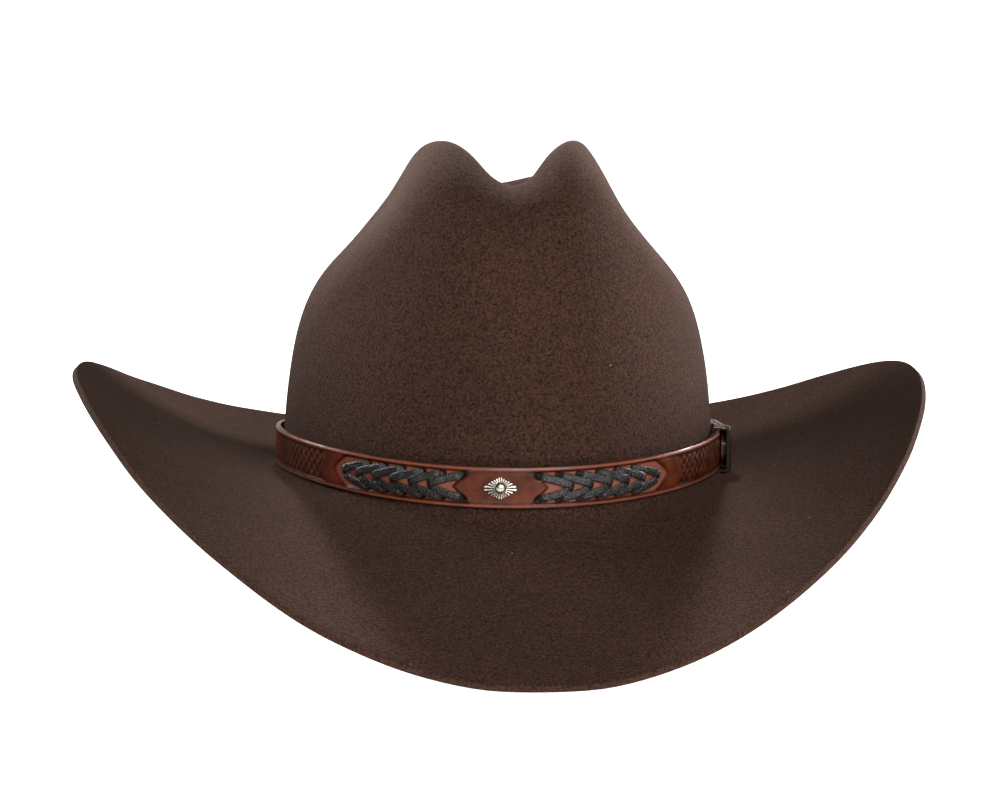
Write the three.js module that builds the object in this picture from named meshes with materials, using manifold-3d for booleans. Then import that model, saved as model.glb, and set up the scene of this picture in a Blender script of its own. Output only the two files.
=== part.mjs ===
// Western felt hat with a cattleman crease and a laced leather hatband.
// Millimetres, +Z up. The front of the hat faces -Y and the wearer's left is +X. The origin lies on
// the table under the middle of the hat, which stands on the front and rear edges of its brim.
//
// The felt is one piece. Each of its meridians runs from the cut edge of the brim to the crown, up
// the crown wall to the crest, and down to the bottom of the centre dent.
import * as THREE from "three";
import { mergeVertices } from "three/addons/utils/BufferGeometryUtils.js";
import Module from "manifold-3d";

const wasm = await Module();
wasm.setup();
const { sin, cos, tan, abs, sign, exp, max, hypot, PI } = Math;
const rad = THREE.MathUtils.degToRad;
const clamp = THREE.MathUtils.clamp;
const mix = THREE.MathUtils.lerp;
const smooth = (v) => THREE.MathUtils.smoothstep(v, 0, 1);
const point = (x, y, z) => new THREE.Vector3(x, y, z);

// ---------------------------------------------------------------- driving dimensions
const FELT = 2.5; // thickness of the finished felt
const HEAD_X = 87.5; // half width of the crown, outside, where it meets the brim
const HEAD_Y = 104; // half length there: a 57 cm head plus the sweatband and the felt
const TILT = rad(7.5); // the plane of the brim joint leans back when the hat stands on a table
const BREAK_Z = 27; // height of that plane above the table, at the middle of the hat
const SADDLE = 3.5; // the joint rises by this at the sides and falls by it front and back
const CENTRE_Y = -2.6; // brings the middle of the hat's box over the origin
const CLEAR = 0.3; // gap left between pieces that touch

const BRIM = {
  width: 101, // along the felt, from the crown to the cut edge, at the front and rear
  sideLess: 6, // it is this much narrower at the sides
  quarterLess: 12, // and this much narrower again halfway between front or rear and side
  side: [9, 47], // slope at the crown and at the cut edge, degrees, at the sides
  front: [-24, -17],
  rear: [-7, -1.7],
  sharpness: 0.96, // how quickly the side curl gives way to the front dip
};

const CREST = {
  front: -66, // where the crest turns round the front of the crown
  rear: 74,
  halfFront: 34, // half distance between the two ridges
  halfRear: 38,
  ridgeFront: 145, // heights above the brim joint
  ridgeRear: 130,
  lipFront: 117.5,
  lipRear: 121,
  lipWidthFront: 19,
  lipWidthRear: 26,
  bend: 0.75, // under 1 makes the ridges run straight and turn quickly at the front
};
const WALL = { riseSide: 95, riseFront: 66, leanFront: 6, leanRear: 3 };
const SHOULDER = { outSide: 22, outFront: 30, outRear: 26, dropSide: 34, dropFront: 0, dropRear: 4 };
const SIDE_DENT = { deep: 11.5, y: -12, long: 50, z: 110, tall: 22, slope: -0.1 };
const CENTRE_DENT = { front: 108, rear: 108, sag: 5, insetFront: 22, insetRear: 26, lipRound: 14 };

const FELT_STEPS = { around: 64, brim: 6, wall: 12, top: 7 };

const BAND = {
  creep: -8, // the band has slipped this far round the crown from dead centre
  low: 3.5, // lower and upper edge above the brim joint
  high: 18.5,
  inner: 1.4, // distance of the strap's inner face from the felt line
  outer: 3.4,
};
const BAND_MID = (BAND.low + BAND.high) / 2;
const PANEL = { from: 12, to: 72, point: 5, half: 5.9, floor: 2.6 };
const LACE = { pairs: 6, pitch: 8, first: 27, sweep: 13, reach: 4.3, wide: 2.5, top: 4.0, leg: 0.8 };
const KEEPER_AT = 136; // distances round the band from the concho, towards the wearer's left
const KEEPER_LENGTH = 9;
const BILLET_TIP = 127;
const HEEL_BAR = 176;
const REST_BAR = 190;
const BAR = 1; // radius of the buckle's wire

// ---------------------------------------------------------------- geometry helpers
// One closed body from faces given as loops of three or four corners. Corners that fall on each
// other are merged, and faces that collapse are dropped.
function bodyFromFaces(faces) {
  const corners = [];
  for (const face of faces)
    for (let i = 2; i < face.length; i++)
      for (const p of [face[0], face[i - 1], face[i]]) corners.push(p.x, p.y, p.z);
  const loose = new THREE.BufferGeometry();
  loose.setAttribute("position", new THREE.Float32BufferAttribute(corners, 3));
  const merged = mergeVertices(loose, 1e-3);
  const all = merged.index.array;
  const kept = [];
  for (let i = 0; i < all.length; i += 3) {
    const [a, b, c] = [all[i], all[i + 1], all[i + 2]];
    if (a !== b && b !== c && c !== a) kept.push(a, b, c);
  }
  merged.setIndex(kept);
  return facingOut(merged);
}

function facingOut(geometry) {
  const p = geometry.attributes.position;
  const index = geometry.index.array;
  const corner = [0, 1, 2].map(() => new THREE.Vector3());
  let volume = 0;
  for (let i = 0; i < index.length; i += 3) {
    corner.forEach((v, k) => v.fromBufferAttribute(p, index[i + k]));
    volume += corner[0].dot(corner[1].clone().cross(corner[2]));
  }
  if (volume < 0)
    for (let i = 0; i < index.length; i += 3) [index[i], index[i + 1]] = [index[i + 1], index[i]];
  return geometry;
}

// Joins sections, each a loop of corners. With closed, the last section meets the first; otherwise
// both ends are capped. With open, a section's last corner isn't joined back to its first.
function loft(sections, { closed = false, open = false } = {}) {
  const count = sections[0].length;
  const faces = [];
  const last = closed ? sections.length : sections.length - 1;
  for (let i = 0; i < last; i++) {
    const a = sections[i];
    const b = sections[(i + 1) % sections.length];
    for (let j = 0; j < (open ? count - 1 : count); j++) {
      const k = (j + 1) % count;
      faces.push([a[j], a[k], b[k], b[j]]);
    }
  }
  if (!closed) {
    faces.push([...sections[0]].reverse());
    faces.push(sections[sections.length - 1]);
  }
  return bodyFromFaces(faces);
}

function toSolid(geometry) {
  const bare = geometry.clone();
  bare.deleteAttribute("normal");
  bare.deleteAttribute("uv");
  const merged = mergeVertices(bare, 1e-4);
  return new wasm.Manifold(
    new wasm.Mesh({
      numProp: 3,
      vertProperties: new Float32Array(merged.attributes.position.array),
      triVerts: new Uint32Array(merged.index.array),
    }),
  );
}

function fromSolid(solid) {
  const mesh = solid.getMesh();
  const geometry = new THREE.BufferGeometry();
  geometry.setAttribute("position", new THREE.BufferAttribute(mesh.vertProperties, 3));
  geometry.setIndex(new THREE.BufferAttribute(mesh.triVerts, 1));
  return geometry;
}

const joined = (pieces) => pieces.map(toSolid).reduce((a, b) => a.add(b));
const cut = (piece, tools) =>
  fromSolid(tools.map(toSolid).reduce((a, b) => a.subtract(b), toSolid(piece)));

// ---------------------------------------------------------------- felt: the oval and the brim
// theta 0 is the wearer's left, 90 degrees is the rear and 270 degrees the front.
function ovalNormal(theta) {
  const nx = cos(theta) / HEAD_X;
  const ny = sin(theta) / HEAD_Y;
  const length = hypot(nx, ny);
  return [nx / length, ny / length];
}

// A point in the frame of the brim joint, whose z runs up the crown.
const crownFrame = (x, y, z) =>
  point(x, y * cos(TILT) + z * sin(TILT), BREAK_Z - y * sin(TILT) + z * cos(TILT));

const saddle = (theta) => SADDLE * cos(2 * theta);

function jointPoint(theta) {
  return crownFrame(HEAD_X * cos(theta), HEAD_Y * sin(theta), saddle(theta));
}

// Each brim meridian is an arc whose slope goes evenly from its value at the crown to its value at
// the cut edge, so the sides curl up and the front and rear dip.
function brimPoint(theta, share) {
  const side = (cos(theta) ** 2) ** BRIM.sharpness;
  const frontness = (1 - sin(theta)) / 2;
  const slope = (end) =>
    rad(mix(mix(BRIM.rear[end], BRIM.front[end], frontness), BRIM.side[end], side));
  const [a0, a1] = [slope(0), slope(1)];
  const bend = abs(a1 - a0) < 1e-4 ? 1e-4 : a1 - a0;
  const a = a0 + bend * share;
  const width =
    BRIM.width - BRIM.sideLess * cos(theta) ** 2 - BRIM.quarterLess * sin(2 * theta) ** 2;
  const run = (width * (sin(a) - sin(a0))) / bend;
  const rise = (width * (cos(a0) - cos(a))) / bend;
  const [nx, ny] = ovalNormal(theta);
  const p = jointPoint(theta);
  return point(p.x + nx * run, p.y + ny * run, p.z + rise);
}

// ---------------------------------------------------------------- felt: the crown
function crestPoint(theta) {
  const [s, c] = [sin(theta), cos(theta)];
  const frontness = (1 - s) / 2;
  const x = mix(CREST.halfRear, CREST.halfFront, smooth(frontness)) * sign(c) * abs(c) ** CREST.bend;
  const y = mix(CREST.front, CREST.rear, (1 + s) / 2);
  const ridge = mix(CREST.ridgeRear, CREST.ridgeFront, smooth((frontness - 0.1) / 0.9));
  const lipFront = exp(-((x / CREST.lipWidthFront) ** 2)) * smooth((frontness - 0.5) / 0.3);
  const lipRear = exp(-((x / CREST.lipWidthRear) ** 2)) * smooth((0.5 - frontness) / 0.3);
  const z =
    ridge -
    (CREST.ridgeFront - CREST.lipFront) * lipFront -
    (CREST.ridgeRear - CREST.lipRear) * lipRear;
  return point(x, y, z);
}

const bezier = (a, b, c, d, t) =>
  (1 - t) ** 3 * a + 3 * t * (1 - t) ** 2 * b + 3 * t * t * (1 - t) * c + t ** 3 * d;

// From the brim joint (share 0) to the crest (share 1), with the thumb dents pressed into the sides.
function wallPoint(theta, share) {
  const [nx, ny] = ovalNormal(theta);
  const base = point(HEAD_X * cos(theta), HEAD_Y * sin(theta), saddle(theta));
  const crest = crestPoint(theta);
  const side = cos(theta) ** 2;
  const byPlace = (atSide, atFront, atRear) =>
    mix(sin(theta) < 0 ? atFront : atRear, atSide, side);
  const rise = byPlace(WALL.riseSide, WALL.riseFront, WALL.riseFront);
  const inward = tan(rad(byPlace(0, WALL.leanFront, WALL.leanRear))) * rise;
  const out = byPlace(SHOULDER.outSide, SHOULDER.outFront, SHOULDER.outRear);
  const drop = byPlace(SHOULDER.dropSide, SHOULDER.dropFront, SHOULDER.dropRear);
  const x = bezier(base.x, base.x - nx * inward, crest.x + nx * out, crest.x, share);
  const y = bezier(base.y, base.y - ny * inward, crest.y + ny * out, crest.y, share);
  const z = bezier(base.z, base.z + rise, crest.z - drop, crest.z, share);
  const along = (y - SIDE_DENT.y) / SIDE_DENT.long;
  const up = (z - SIDE_DENT.z - SIDE_DENT.slope * (y - SIDE_DENT.y)) / SIDE_DENT.tall;
  const press = SIDE_DENT.deep * exp(-(along ** 2) - up ** 2) * abs(cos(theta)) ** 0.5;
  return point(x - sign(x) * Math.min(press, abs(x) * 0.8), y, z);
}

// From the crest (share 0) down to the bottom of the centre dent (share 1).
function dentPoint(theta, share) {
  const crest = crestPoint(theta);
  const first = CREST.front + CENTRE_DENT.insetFront;
  const last = CREST.rear - CENTRE_DENT.insetRear;
  const floorY = clamp(crest.y, first, last);
  const u = (floorY - first) / (last - first);
  const floorZ = mix(CENTRE_DENT.front, CENTRE_DENT.rear, u) - CENTRE_DENT.sag * 4 * u * (1 - u);
  const dy = crest.y - floorY;
  const reach = hypot(crest.x, dy) + 1e-6;
  const round = Math.min(CENTRE_DENT.lipRound, reach / 2) / reach;
  return point(
    bezier(crest.x, crest.x * (1 - round), crest.x * 0.45, 0, share),
    bezier(crest.y, crest.y - dy * round, floorY + dy * 0.45, floorY, share),
    bezier(crest.z, crest.z, floorZ, floorZ, share),
  );
}

const thetaAt = (i, count) => (2 * PI * i) / count;

// The felt's upper face as rows of points: the cut edge first, the bottom of the dent last.
function feltRows({ around, brim, wall, top }) {
  const angles = Array.from({ length: around }, (_, i) => thetaAt(i, around));
  const rows = [];
  for (let i = 0; i < brim; i++) rows.push(angles.map((t) => brimPoint(t, 1 - i / brim)));
  const crown = (p) => crownFrame(p.x, p.y, p.z);
  for (let i = 0; i < wall; i++) rows.push(angles.map((t) => crown(wallPoint(t, i / wall))));
  for (let i = 0; i <= top; i++) rows.push(angles.map((t) => crown(dentPoint(t, i / top))));
  return roundCrest(rows, brim + wall);
}

// Steam rounds the crest: points near it move towards the middle of their neighbours.
function roundCrest(rows, crestRow) {
  const passes = 4;
  const spread = 2.5;
  for (let pass = 0; pass < passes; pass++) {
    const before = rows.map((row) => row.map((p) => p.clone()));
    for (let r = 1; r < rows.length - 1; r++) {
      const share = 0.5 * exp(-(((r - crestRow) / spread) ** 2));
      rows[r].forEach((p, i) => {
        const middle = before[r - 1][i].clone().add(before[r + 1][i]).multiplyScalar(0.5);
        p.lerp(middle, share);
      });
    }
  }
  return rows;
}

// The same rows moved inwards, square to the face.
function insetRows(rows, depth) {
  const around = rows[0].length;
  return rows.map((row, r) =>
    row.map((p, i) => {
      const before = rows[max(r - 1, 0)][i];
      const after = rows[Math.min(r + 1, rows.length - 1)][i];
      const left = row[(i + around - 1) % around];
      const right = row[(i + 1) % around];
      const normal = right.clone().sub(left).cross(after.clone().sub(before));
      if (r === rows.length - 1) normal.set(0, sin(TILT), cos(TILT));
      return p.clone().addScaledVector(normal.normalize(), -depth);
    }),
  );
}

// A skin between two sets of rows, closed along the cut edge.
function skin(outer, inner) {
  const around = outer[0].length;
  const sections = Array.from({ length: around }, (_, i) => [
    ...inner.map((row) => row[i]).reverse(),
    ...outer.map((row) => row[i]),
  ]);
  return loft(sections, { closed: true, open: true });
}

// ---------------------------------------------------------------- the crown's inside
// The crown wall at a height above the brim joint, moved inwards by a depth.
function insideWall(theta, height, depth) {
  let [low, high] = [0, 1];
  for (let i = 0; i < 24; i++) {
    const middle = (low + high) / 2;
    if (wallPoint(theta, middle).z - saddle(theta) < height) low = middle;
    else high = middle;
  }
  const step = 1e-3;
  const p = wallPoint(theta, low);
  const round = wallPoint(theta + step, low).sub(wallPoint(theta - step, low));
  const upward = wallPoint(theta, low + step).sub(p);
  return p.addScaledVector(round.cross(upward).normalize(), -depth);
}

// A thin wall that follows the inside of the crown, between two depths.
function innerWall(heights, near, far, angles, closed) {
  const sections = angles.map((theta) => [
    ...heights.map((z) => insideWall(theta, z, near)),
    ...[...heights].reverse().map((z) => insideWall(theta, z, far)),
  ]);
  return loft(sections, { closed });
}

const ringAngles = (count) => Array.from({ length: count }, (_, i) => thetaAt(i, count));

const SWEAT = { near: 4.4, far: 5.6, high: 58 };
const LINING = { near: 3, far: 3.5, low: 14, high: 82, tip: 88, dome: 4 };

function sweatband() {
  const slit = 0.003; // the two ends meet at the rear with a hairline between them
  const count = 56;
  const turn = 2 * PI - 2 * slit;
  const angles = Array.from({ length: count + 1 }, (_, i) => PI / 2 + slit + (turn * i) / count);
  return innerWall([0.4, 20, 40, SWEAT.high], SWEAT.near, SWEAT.far, angles, false);
}

// The cord in the sweatband's lower seam.
function reed() {
  const radius = 0.8;
  const sections = ringAngles(48).map((theta) => {
    const depth = (SWEAT.near + SWEAT.far) / 2;
    const [nx, ny] = ovalNormal(theta);
    return Array.from({ length: 6 }, (_, k) => {
      const out = radius * cos(thetaAt(k, 6)) - depth;
      const up = radius * sin(thetaAt(k, 6)) - 0.9;
      return point(
        HEAD_X * cos(theta) + nx * out,
        HEAD_Y * sin(theta) + ny * out,
        saddle(theta) + up,
      );
    });
  });
  return loft(sections, { closed: true });
}

// A tape behind the joint of the sweatband's ends.
function seamTape() {
  const half = 0.06;
  const angles = [-1, 0, 1].map((k) => PI / 2 + half * k);
  return innerWall([0.6, 20, 40, 56], LINING.far + CLEAR, SWEAT.near - CLEAR, angles, false);
}

function bow() {
  const outline = new THREE.Shape();
  outline.moveTo(-8, -3.5);
  outline.quadraticCurveTo(-4, -1, 0, -1.2);
  outline.quadraticCurveTo(4, -1, 8, -3.5);
  outline.lineTo(8, 3.5);
  outline.quadraticCurveTo(4, 1, 0, 1.2);
  outline.quadraticCurveTo(-4, 1, -8, 3.5);
  const made = new THREE.ExtrudeGeometry(outline, { depth: 1.4, bevelEnabled: false, curveSegments: 4 });
  made.rotateX(PI / 2);
  const back = insideWall(PI / 2, 9, SWEAT.far + CLEAR);
  made.translate(0, back.y - 0.4, back.z);
  return made;
}

function liningTip() {
  const rows = [1, 0.75, 0.5, 0.25, 0].map((share) =>
    ringAngles(40).map((theta) => {
      const edge = insideWall(theta, LINING.tip, LINING.near + 3);
      const rise = LINING.dome * (1 - share ** 2);
      return point(edge.x * share, edge.y * share, LINING.tip + saddle(theta) * share + rise);
    }),
  );
  const under = rows.map((row) => row.map((p) => point(p.x, p.y, p.z - 0.6)));
  return skin(rows, under);
}

// ---------------------------------------------------------------- the hatband's path
const PATH = (() => {
  const steps = 720;
  const table = [0];
  let before = null;
  for (let i = 0; i <= steps; i++) {
    const theta = -PI / 2 + thetaAt(i, steps);
    const [nx, ny] = ovalNormal(theta);
    const out = (BAND.inner + BAND.outer) / 2;
    const here = [HEAD_X * cos(theta) + nx * out, HEAD_Y * sin(theta) + ny * out];
    if (before) table.push(table[i - 1] + hypot(here[0] - before[0], here[1] - before[1]));
    before = here;
  }
  return { steps, table, length: table[steps] };
})();

// The angle round the oval at a distance along the band from the concho.
function bandTheta(distance) {
  const total = PATH.length;
  const s = (((distance + BAND.creep) % total) + total) % total;
  let i = 0;
  while (PATH.table[i + 1] < s) i++;
  const part = (s - PATH.table[i]) / (PATH.table[i + 1] - PATH.table[i]);
  return -PI / 2 + thetaAt(i + part, PATH.steps);
}

// A point by the distance along the band, the distance out from the felt, and the height.
function bandPoint(distance, out, up) {
  const theta = bandTheta(distance);
  const [nx, ny] = ovalNormal(theta);
  return point(HEAD_X * cos(theta) + nx * out, HEAD_Y * sin(theta) + ny * out, saddle(theta) + up);
}

// A strip along the band. Every measure may be a number or a function of the distance.
function strip(from, to, steps, { inner, outer, low = BAND.low, high = BAND.high }) {
  const at = (value, s) => (typeof value === "function" ? value(s) : value);
  const sections = Array.from({ length: steps + 1 }, (_, i) => {
    const s = mix(from, to, i / steps);
    return [
      bandPoint(s, at(inner, s), at(low, s)),
      bandPoint(s, at(outer, s), at(low, s)),
      bandPoint(s, at(outer, s), at(high, s)),
      bandPoint(s, at(inner, s), at(high, s)),
    ];
  });
  return loft(sections);
}

// A round peg square to the band's face.
function peg(distance, up, radius, inner, outer, sides = 8) {
  const ring = (out) =>
    Array.from({ length: sides }, (_, k) =>
      bandPoint(
        distance + radius * cos(thetaAt(k, sides)),
        out,
        up + radius * sin(thetaAt(k, sides)),
      ),
    );
  return loft([ring(inner), ring(outer)]);
}

// A round bar up and down the band's width.
function uprightBar(distance, out, radius, low, high, sides = 10) {
  const ring = (up) =>
    Array.from({ length: sides }, (_, k) =>
      bandPoint(distance + radius * cos(thetaAt(k, sides)), out + radius * sin(thetaAt(k, sides)), up),
    );
  return loft([ring(low), ring(high)]);
}

// ---------------------------------------------------------------- the hatband's pieces
const TURN = PATH.length;
const EYE = { out: 2.6, radius: 2.1, hole: 1.3 };
const BILLET_GAP = 0.3;
const billetLift = BAND.outer + BILLET_GAP - BAND.inner; // how far the billet lies over the strap

// The strap leaves the felt behind the buckle, climbs over the heel bar and lies on itself.
function strapLift(s) {
  const place = s + TURN;
  if (place < BILLET_TIP - 1 || place > REST_BAR) return 0;
  const overBar = 1.35 * exp(-(((place - HEEL_BAR) / 5) ** 2));
  return (billetLift + overBar) * smooth((REST_BAR - 1.5 - place) / 8);
}

// The sunken panel narrows to a blunt point at its outer end.
function panelRecess(side) {
  const half = (s) => PANEL.half * clamp((PANEL.to - abs(s)) / PANEL.point, 0.35, 1);
  return strip(side * PANEL.from, side * PANEL.to, 12, {
    inner: PANEL.floor,
    outer: BAND.outer + 1,
    low: (s) => BAND_MID - half(s),
    high: (s) => BAND_MID + half(s),
  });
}

// The lace crosses the panel as a row of arrowheads that point away from the concho.
function laceEnds(side) {
  return Array.from({ length: LACE.pairs }, (_, i) => {
    const tip = LACE.first + LACE.pitch * i;
    return { tip: side * tip, tail: side * (tip - LACE.sweep) };
  });
}

function strand(from, fromUp, to, toUp) {
  const steps = 3;
  const half = LACE.wide / 2;
  const sections = Array.from({ length: steps + 1 }, (_, i) => {
    const s = mix(from, to, i / steps);
    const up = mix(fromUp, toUp, i / steps);
    const bottom = PANEL.floor + CLEAR;
    return [
      bandPoint(s, bottom, up - half),
      bandPoint(s, LACE.top, up - half * 0.7),
      bandPoint(s, LACE.top, up + half * 0.7),
      bandPoint(s, bottom, up + half),
    ];
  });
  return loft(sections);
}

function lace(side) {
  const pieces = [];
  for (const { tip, tail } of laceEnds(side))
    for (const way of [-1, 1]) {
      pieces.push(strand(tail, BAND_MID + way * LACE.reach, tip, BAND_MID + way * 0.6));
      pieces.push(
        peg(tail, BAND_MID + way * LACE.reach, LACE.leg, BAND.inner, PANEL.floor + 1, 6),
      );
    }
  return fromSolid(joined(pieces));
}

function laceHoles(side) {
  return laceEnds(side).flatMap(({ tail }) =>
    [-1, 1].map((way) =>
      peg(tail, BAND_MID + way * LACE.reach, LACE.leg + 0.5, BAND.inner - 1, BAND.outer + 1, 6),
    ),
  );
}

function strap() {
  const lifted = (base) => (s) => base + strapLift(s);
  const tip = BILLET_TIP - TURN;
  const narrow = (s) => clamp((s - tip) / 7, 0, 1) ** 0.6; // the billet ends in a rounded point
  const edge = (way) => (s) => BAND_MID + way * ((BAND.high - BAND.low) / 2) * mix(0.3, 1, narrow(s));
  const main = strip(tip, HEEL_BAR - 1.2, 110, {
    inner: lifted(BAND.inner),
    outer: lifted(BAND.outer),
    low: edge(-1),
    high: edge(1),
  });
  const eye = uprightBar(HEEL_BAR, EYE.out, EYE.radius, BAND.low, BAND.high, 12);
  const foldBack = strip(HEEL_BAR - 15, HEEL_BAR - 0.6, 4, { inner: 0.4, outer: 1.1 });
  const whole = fromSolid(joined([main, eye, foldBack]));
  const tools = [
    uprightBar(HEEL_BAR, EYE.out, EYE.hole, BAND.low - 1, BAND.high + 1, 12),
    strip(HEEL_BAR - 3.4, HEEL_BAR + 3, 2, {
      inner: 0,
      outer: BAND.outer + 1.5,
      low: BAND_MID - 2,
      high: BAND_MID + 2,
    }),
    strip(HEEL_BAR + 0.5 - TURN, REST_BAR - 1 - TURN, 4, {
      inner: BAND.inner - 1,
      outer: 9,
      low: BAND_MID - 1.8,
      high: BAND_MID + 1.8,
    }),
    peg(HEEL_BAR - 9, BAND_MID, 1.5, -0.2, BAND.outer + 0.4),
    peg(0, BAND_MID, 1.5, BAND.inner - 1, BAND.outer + 1),
    ...[152, 162].map((s) => peg(s - TURN, BAND_MID, 1.3, BAND.outer + 0.1, BAND.outer + 3)),
    ...[-1, 1].flatMap((side) => [panelRecess(side), ...laceHoles(side)]),
  ];
  return cut(whole, tools);
}

function keeper() {
  const wall = 1.1;
  const hole = { inner: 1.1, outer: 6.1, low: BAND.low - CLEAR, high: BAND.high + CLEAR };
  const half = KEEPER_LENGTH / 2;
  const loop = strip(KEEPER_AT - half, KEEPER_AT + half, 4, {
    inner: hole.inner - 0.8,
    outer: hole.outer + wall,
    low: hole.low - wall + 0.1,
    high: hole.high + wall - 0.1,
  });
  return cut(loop, [strip(KEEPER_AT - half - 1, KEEPER_AT + half + 1, 4, hole)]);
}

const FRAME_REACH = 8.4; // from the middle of the band to the middle of the frame's long sides
const REST_OUT = BAND.outer + CLEAR + BAR + 0.2;

function buckleFrame() {
  const barOut = (s) => mix(EYE.out, REST_OUT, (s - HEEL_BAR) / (REST_BAR - HEEL_BAR));
  const side = (way) =>
    strip(HEEL_BAR - BAR, REST_BAR + BAR, 4, {
      inner: (s) => barOut(s) - 0.9,
      outer: (s) => barOut(s) + 0.9,
      low: BAND_MID + way * FRAME_REACH - 0.8,
      high: BAND_MID + way * FRAME_REACH + 0.8,
    });
  const ends = [BAND_MID - FRAME_REACH, BAND_MID + FRAME_REACH];
  return fromSolid(
    joined([
      side(-1),
      side(1),
      uprightBar(HEEL_BAR, EYE.out, BAR, ...ends, 10),
      uprightBar(REST_BAR, REST_OUT, BAR, ...ends, 10),
    ]),
  );
}

function buckleTongue() {
  const half = 1.2;
  const tipAt = REST_BAR + 2.2;
  const tipOut = REST_OUT + BAR + CLEAR;
  const centre = (s) => mix(EYE.out + 1.1, tipOut + 1, (s - HEEL_BAR) / (tipAt - HEEL_BAR));
  const prong = strip(HEEL_BAR, tipAt, 4, {
    inner: (s) => centre(s) - 0.6,
    outer: (s) => centre(s) + 0.6,
    low: BAND_MID - half,
    high: BAND_MID + half,
  });
  const ring = uprightBar(HEEL_BAR, EYE.out, 1.95, BAND_MID - half, BAND_MID + half, 12);
  const whole = fromSolid(joined([prong, ring]));
  const bore = uprightBar(HEEL_BAR, EYE.out, BAR + 0.25, BAND_MID - 3, BAND_MID + 3, 12);
  return cut(whole, [bore]);
}

// A diamond sunburst: rays round a small dome.
function concho() {
  const [halfWide, halfTall, rays] = [6.6, 4.1, 12];
  const back = BAND.outer + CLEAR;
  const profile = [
    [0, 0],
    [1, 0],
    [1, 0.5],
    [0.55, 0.95],
    [0.42, 0.9],
    [0.3, 1.45],
    [0, 1.75],
  ];
  const sections = ringAngles(2 * rays).map((angle, i) => {
    const diamond = 1 / (abs(cos(angle)) / halfWide + abs(sin(angle)) / halfTall);
    const round = 1 / hypot(cos(angle) / halfWide, sin(angle) / halfTall);
    const edge = mix(diamond, round, 0.2) * (i % 2 ? 0.91 : 1);
    return profile.map(([share, up]) => {
      const r = share < 0.45 ? share * halfTall : share * edge;
      return [r * cos(angle), r * sin(angle), up];
    });
  });
  const theta = bandTheta(0);
  const [nx, ny] = ovalNormal(theta);
  const centre = bandPoint(0, back, BAND_MID);
  const placed = sections.map((loop) =>
    loop.map(([along, up, out]) =>
      point(centre.x - ny * along + nx * out, centre.y + nx * along + ny * out, centre.z + up),
    ),
  );
  return loft(placed, { closed: true, open: true });
}

// The screw that holds the concho: its head sits in a hole of the backing.
function conchoScrew() {
  return fromSolid(
    joined([
      peg(0, BAND_MID, 2.4, 0.45, 1.05, 10),
      peg(0, BAND_MID, 1.1, 0.9, BAND.outer + 0.05, 8),
    ]),
  );
}

function backing() {
  const whole = strip(-80, 80, 30, { inner: 0.4, outer: 1, low: BAND.low + 0.6, high: BAND.high - 0.6 });
  return cut(whole, [peg(0, BAND_MID, 2.8, -0.5, 2, 10)]);
}

// ---------------------------------------------------------------- the assembly
const finish = (color, roughness, metalness = 0) =>
  new THREE.MeshStandardMaterial({ color, roughness, metalness, flatShading: true });
const FELT_BROWN = finish("#45312a", 0.95);
const COGNAC = finish("#78432f", 0.5);
const BLACK_LEATHER = finish("#27211f", 0.5);
const TAN_LEATHER = finish("#6b4a35", 0.6);
const SATIN = finish("#2c201c", 0.4);
const SILVER = finish("#c9c3b8", 0.3, 1);

const named = (name, geometry, material) => {
  const mesh = new THREE.Mesh(geometry, material);
  mesh.name = name;
  return mesh;
};

// The felt hat body, with the lowest parts of its edge pressed flat where it stands.
function hatBody() {
  const outer = feltRows(FELT_STEPS);
  const inner = insetRows(outer, FELT);
  const body = skin(outer, inner);
  const table = new THREE.BoxGeometry(600, 600, 40).translate(0, 0, -20);
  return cut(body, [table]);
}

const hat = new THREE.Group();
const standing = new THREE.Group();
standing.position.y = CENTRE_Y;
hat.add(standing);
standing.add(named("felt_body", hatBody(), FELT_BROWN));

// Everything fixed to the crown shares the frame of the brim joint.
const crownGroup = new THREE.Group();
crownGroup.position.z = BREAK_Z;
crownGroup.rotation.x = -TILT;
standing.add(crownGroup);

crownGroup.add(
  named("sweatband", sweatband(), TAN_LEATHER),
  named("sweatband_reed", reed(), BLACK_LEATHER),
  named("sweatband_seam_tape", seamTape(), BLACK_LEATHER),
  named("sweatband_bow", bow(), BLACK_LEATHER),
  named(
    "lining_side",
    innerWall([LINING.low, 36, 60, LINING.high], LINING.near, LINING.far, ringAngles(48), true),
    SATIN,
  ),
  named("lining_tip", liningTip(), SATIN),
);

crownGroup.add(
  named("hatband_strap", strap(), COGNAC),
  named("hatband_backing", backing(), TAN_LEATHER),
  named("lace_left", lace(1), BLACK_LEATHER),
  named("lace_right", lace(-1), BLACK_LEATHER),
  named("concho", concho(), SILVER),
  named("concho_screw", conchoScrew(), SILVER),
  named("strap_rivet", peg(HEEL_BAR - 9, BAND_MID, 1.2, 0.5, BAND.outer - 0.1), SILVER),
  named("keeper", keeper(), COGNAC),
  named("buckle_frame", buckleFrame(), SILVER),
  named("buckle_tongue", buckleTongue(), SILVER),
);

export default hat;
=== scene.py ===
# %% [markdown]
# # A western felt hat with a laced leather hatband
# The hat stands on the front and rear edges of its brim, its front towards -Y and the wearer's left
# towards +X. Measures are in millimetres, in the frame of the brim joint, and one function turns
# them into metres where the hat stands. The pieces are made from the outside in: felt, hatband,
# buckle, and then the sweatband and the satin lining inside the crown.

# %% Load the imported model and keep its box
import functools
import math
import random
from math import cos, exp, hypot, pi, radians, sin, tan

import bmesh
import bpy
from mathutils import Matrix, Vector, noise


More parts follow.
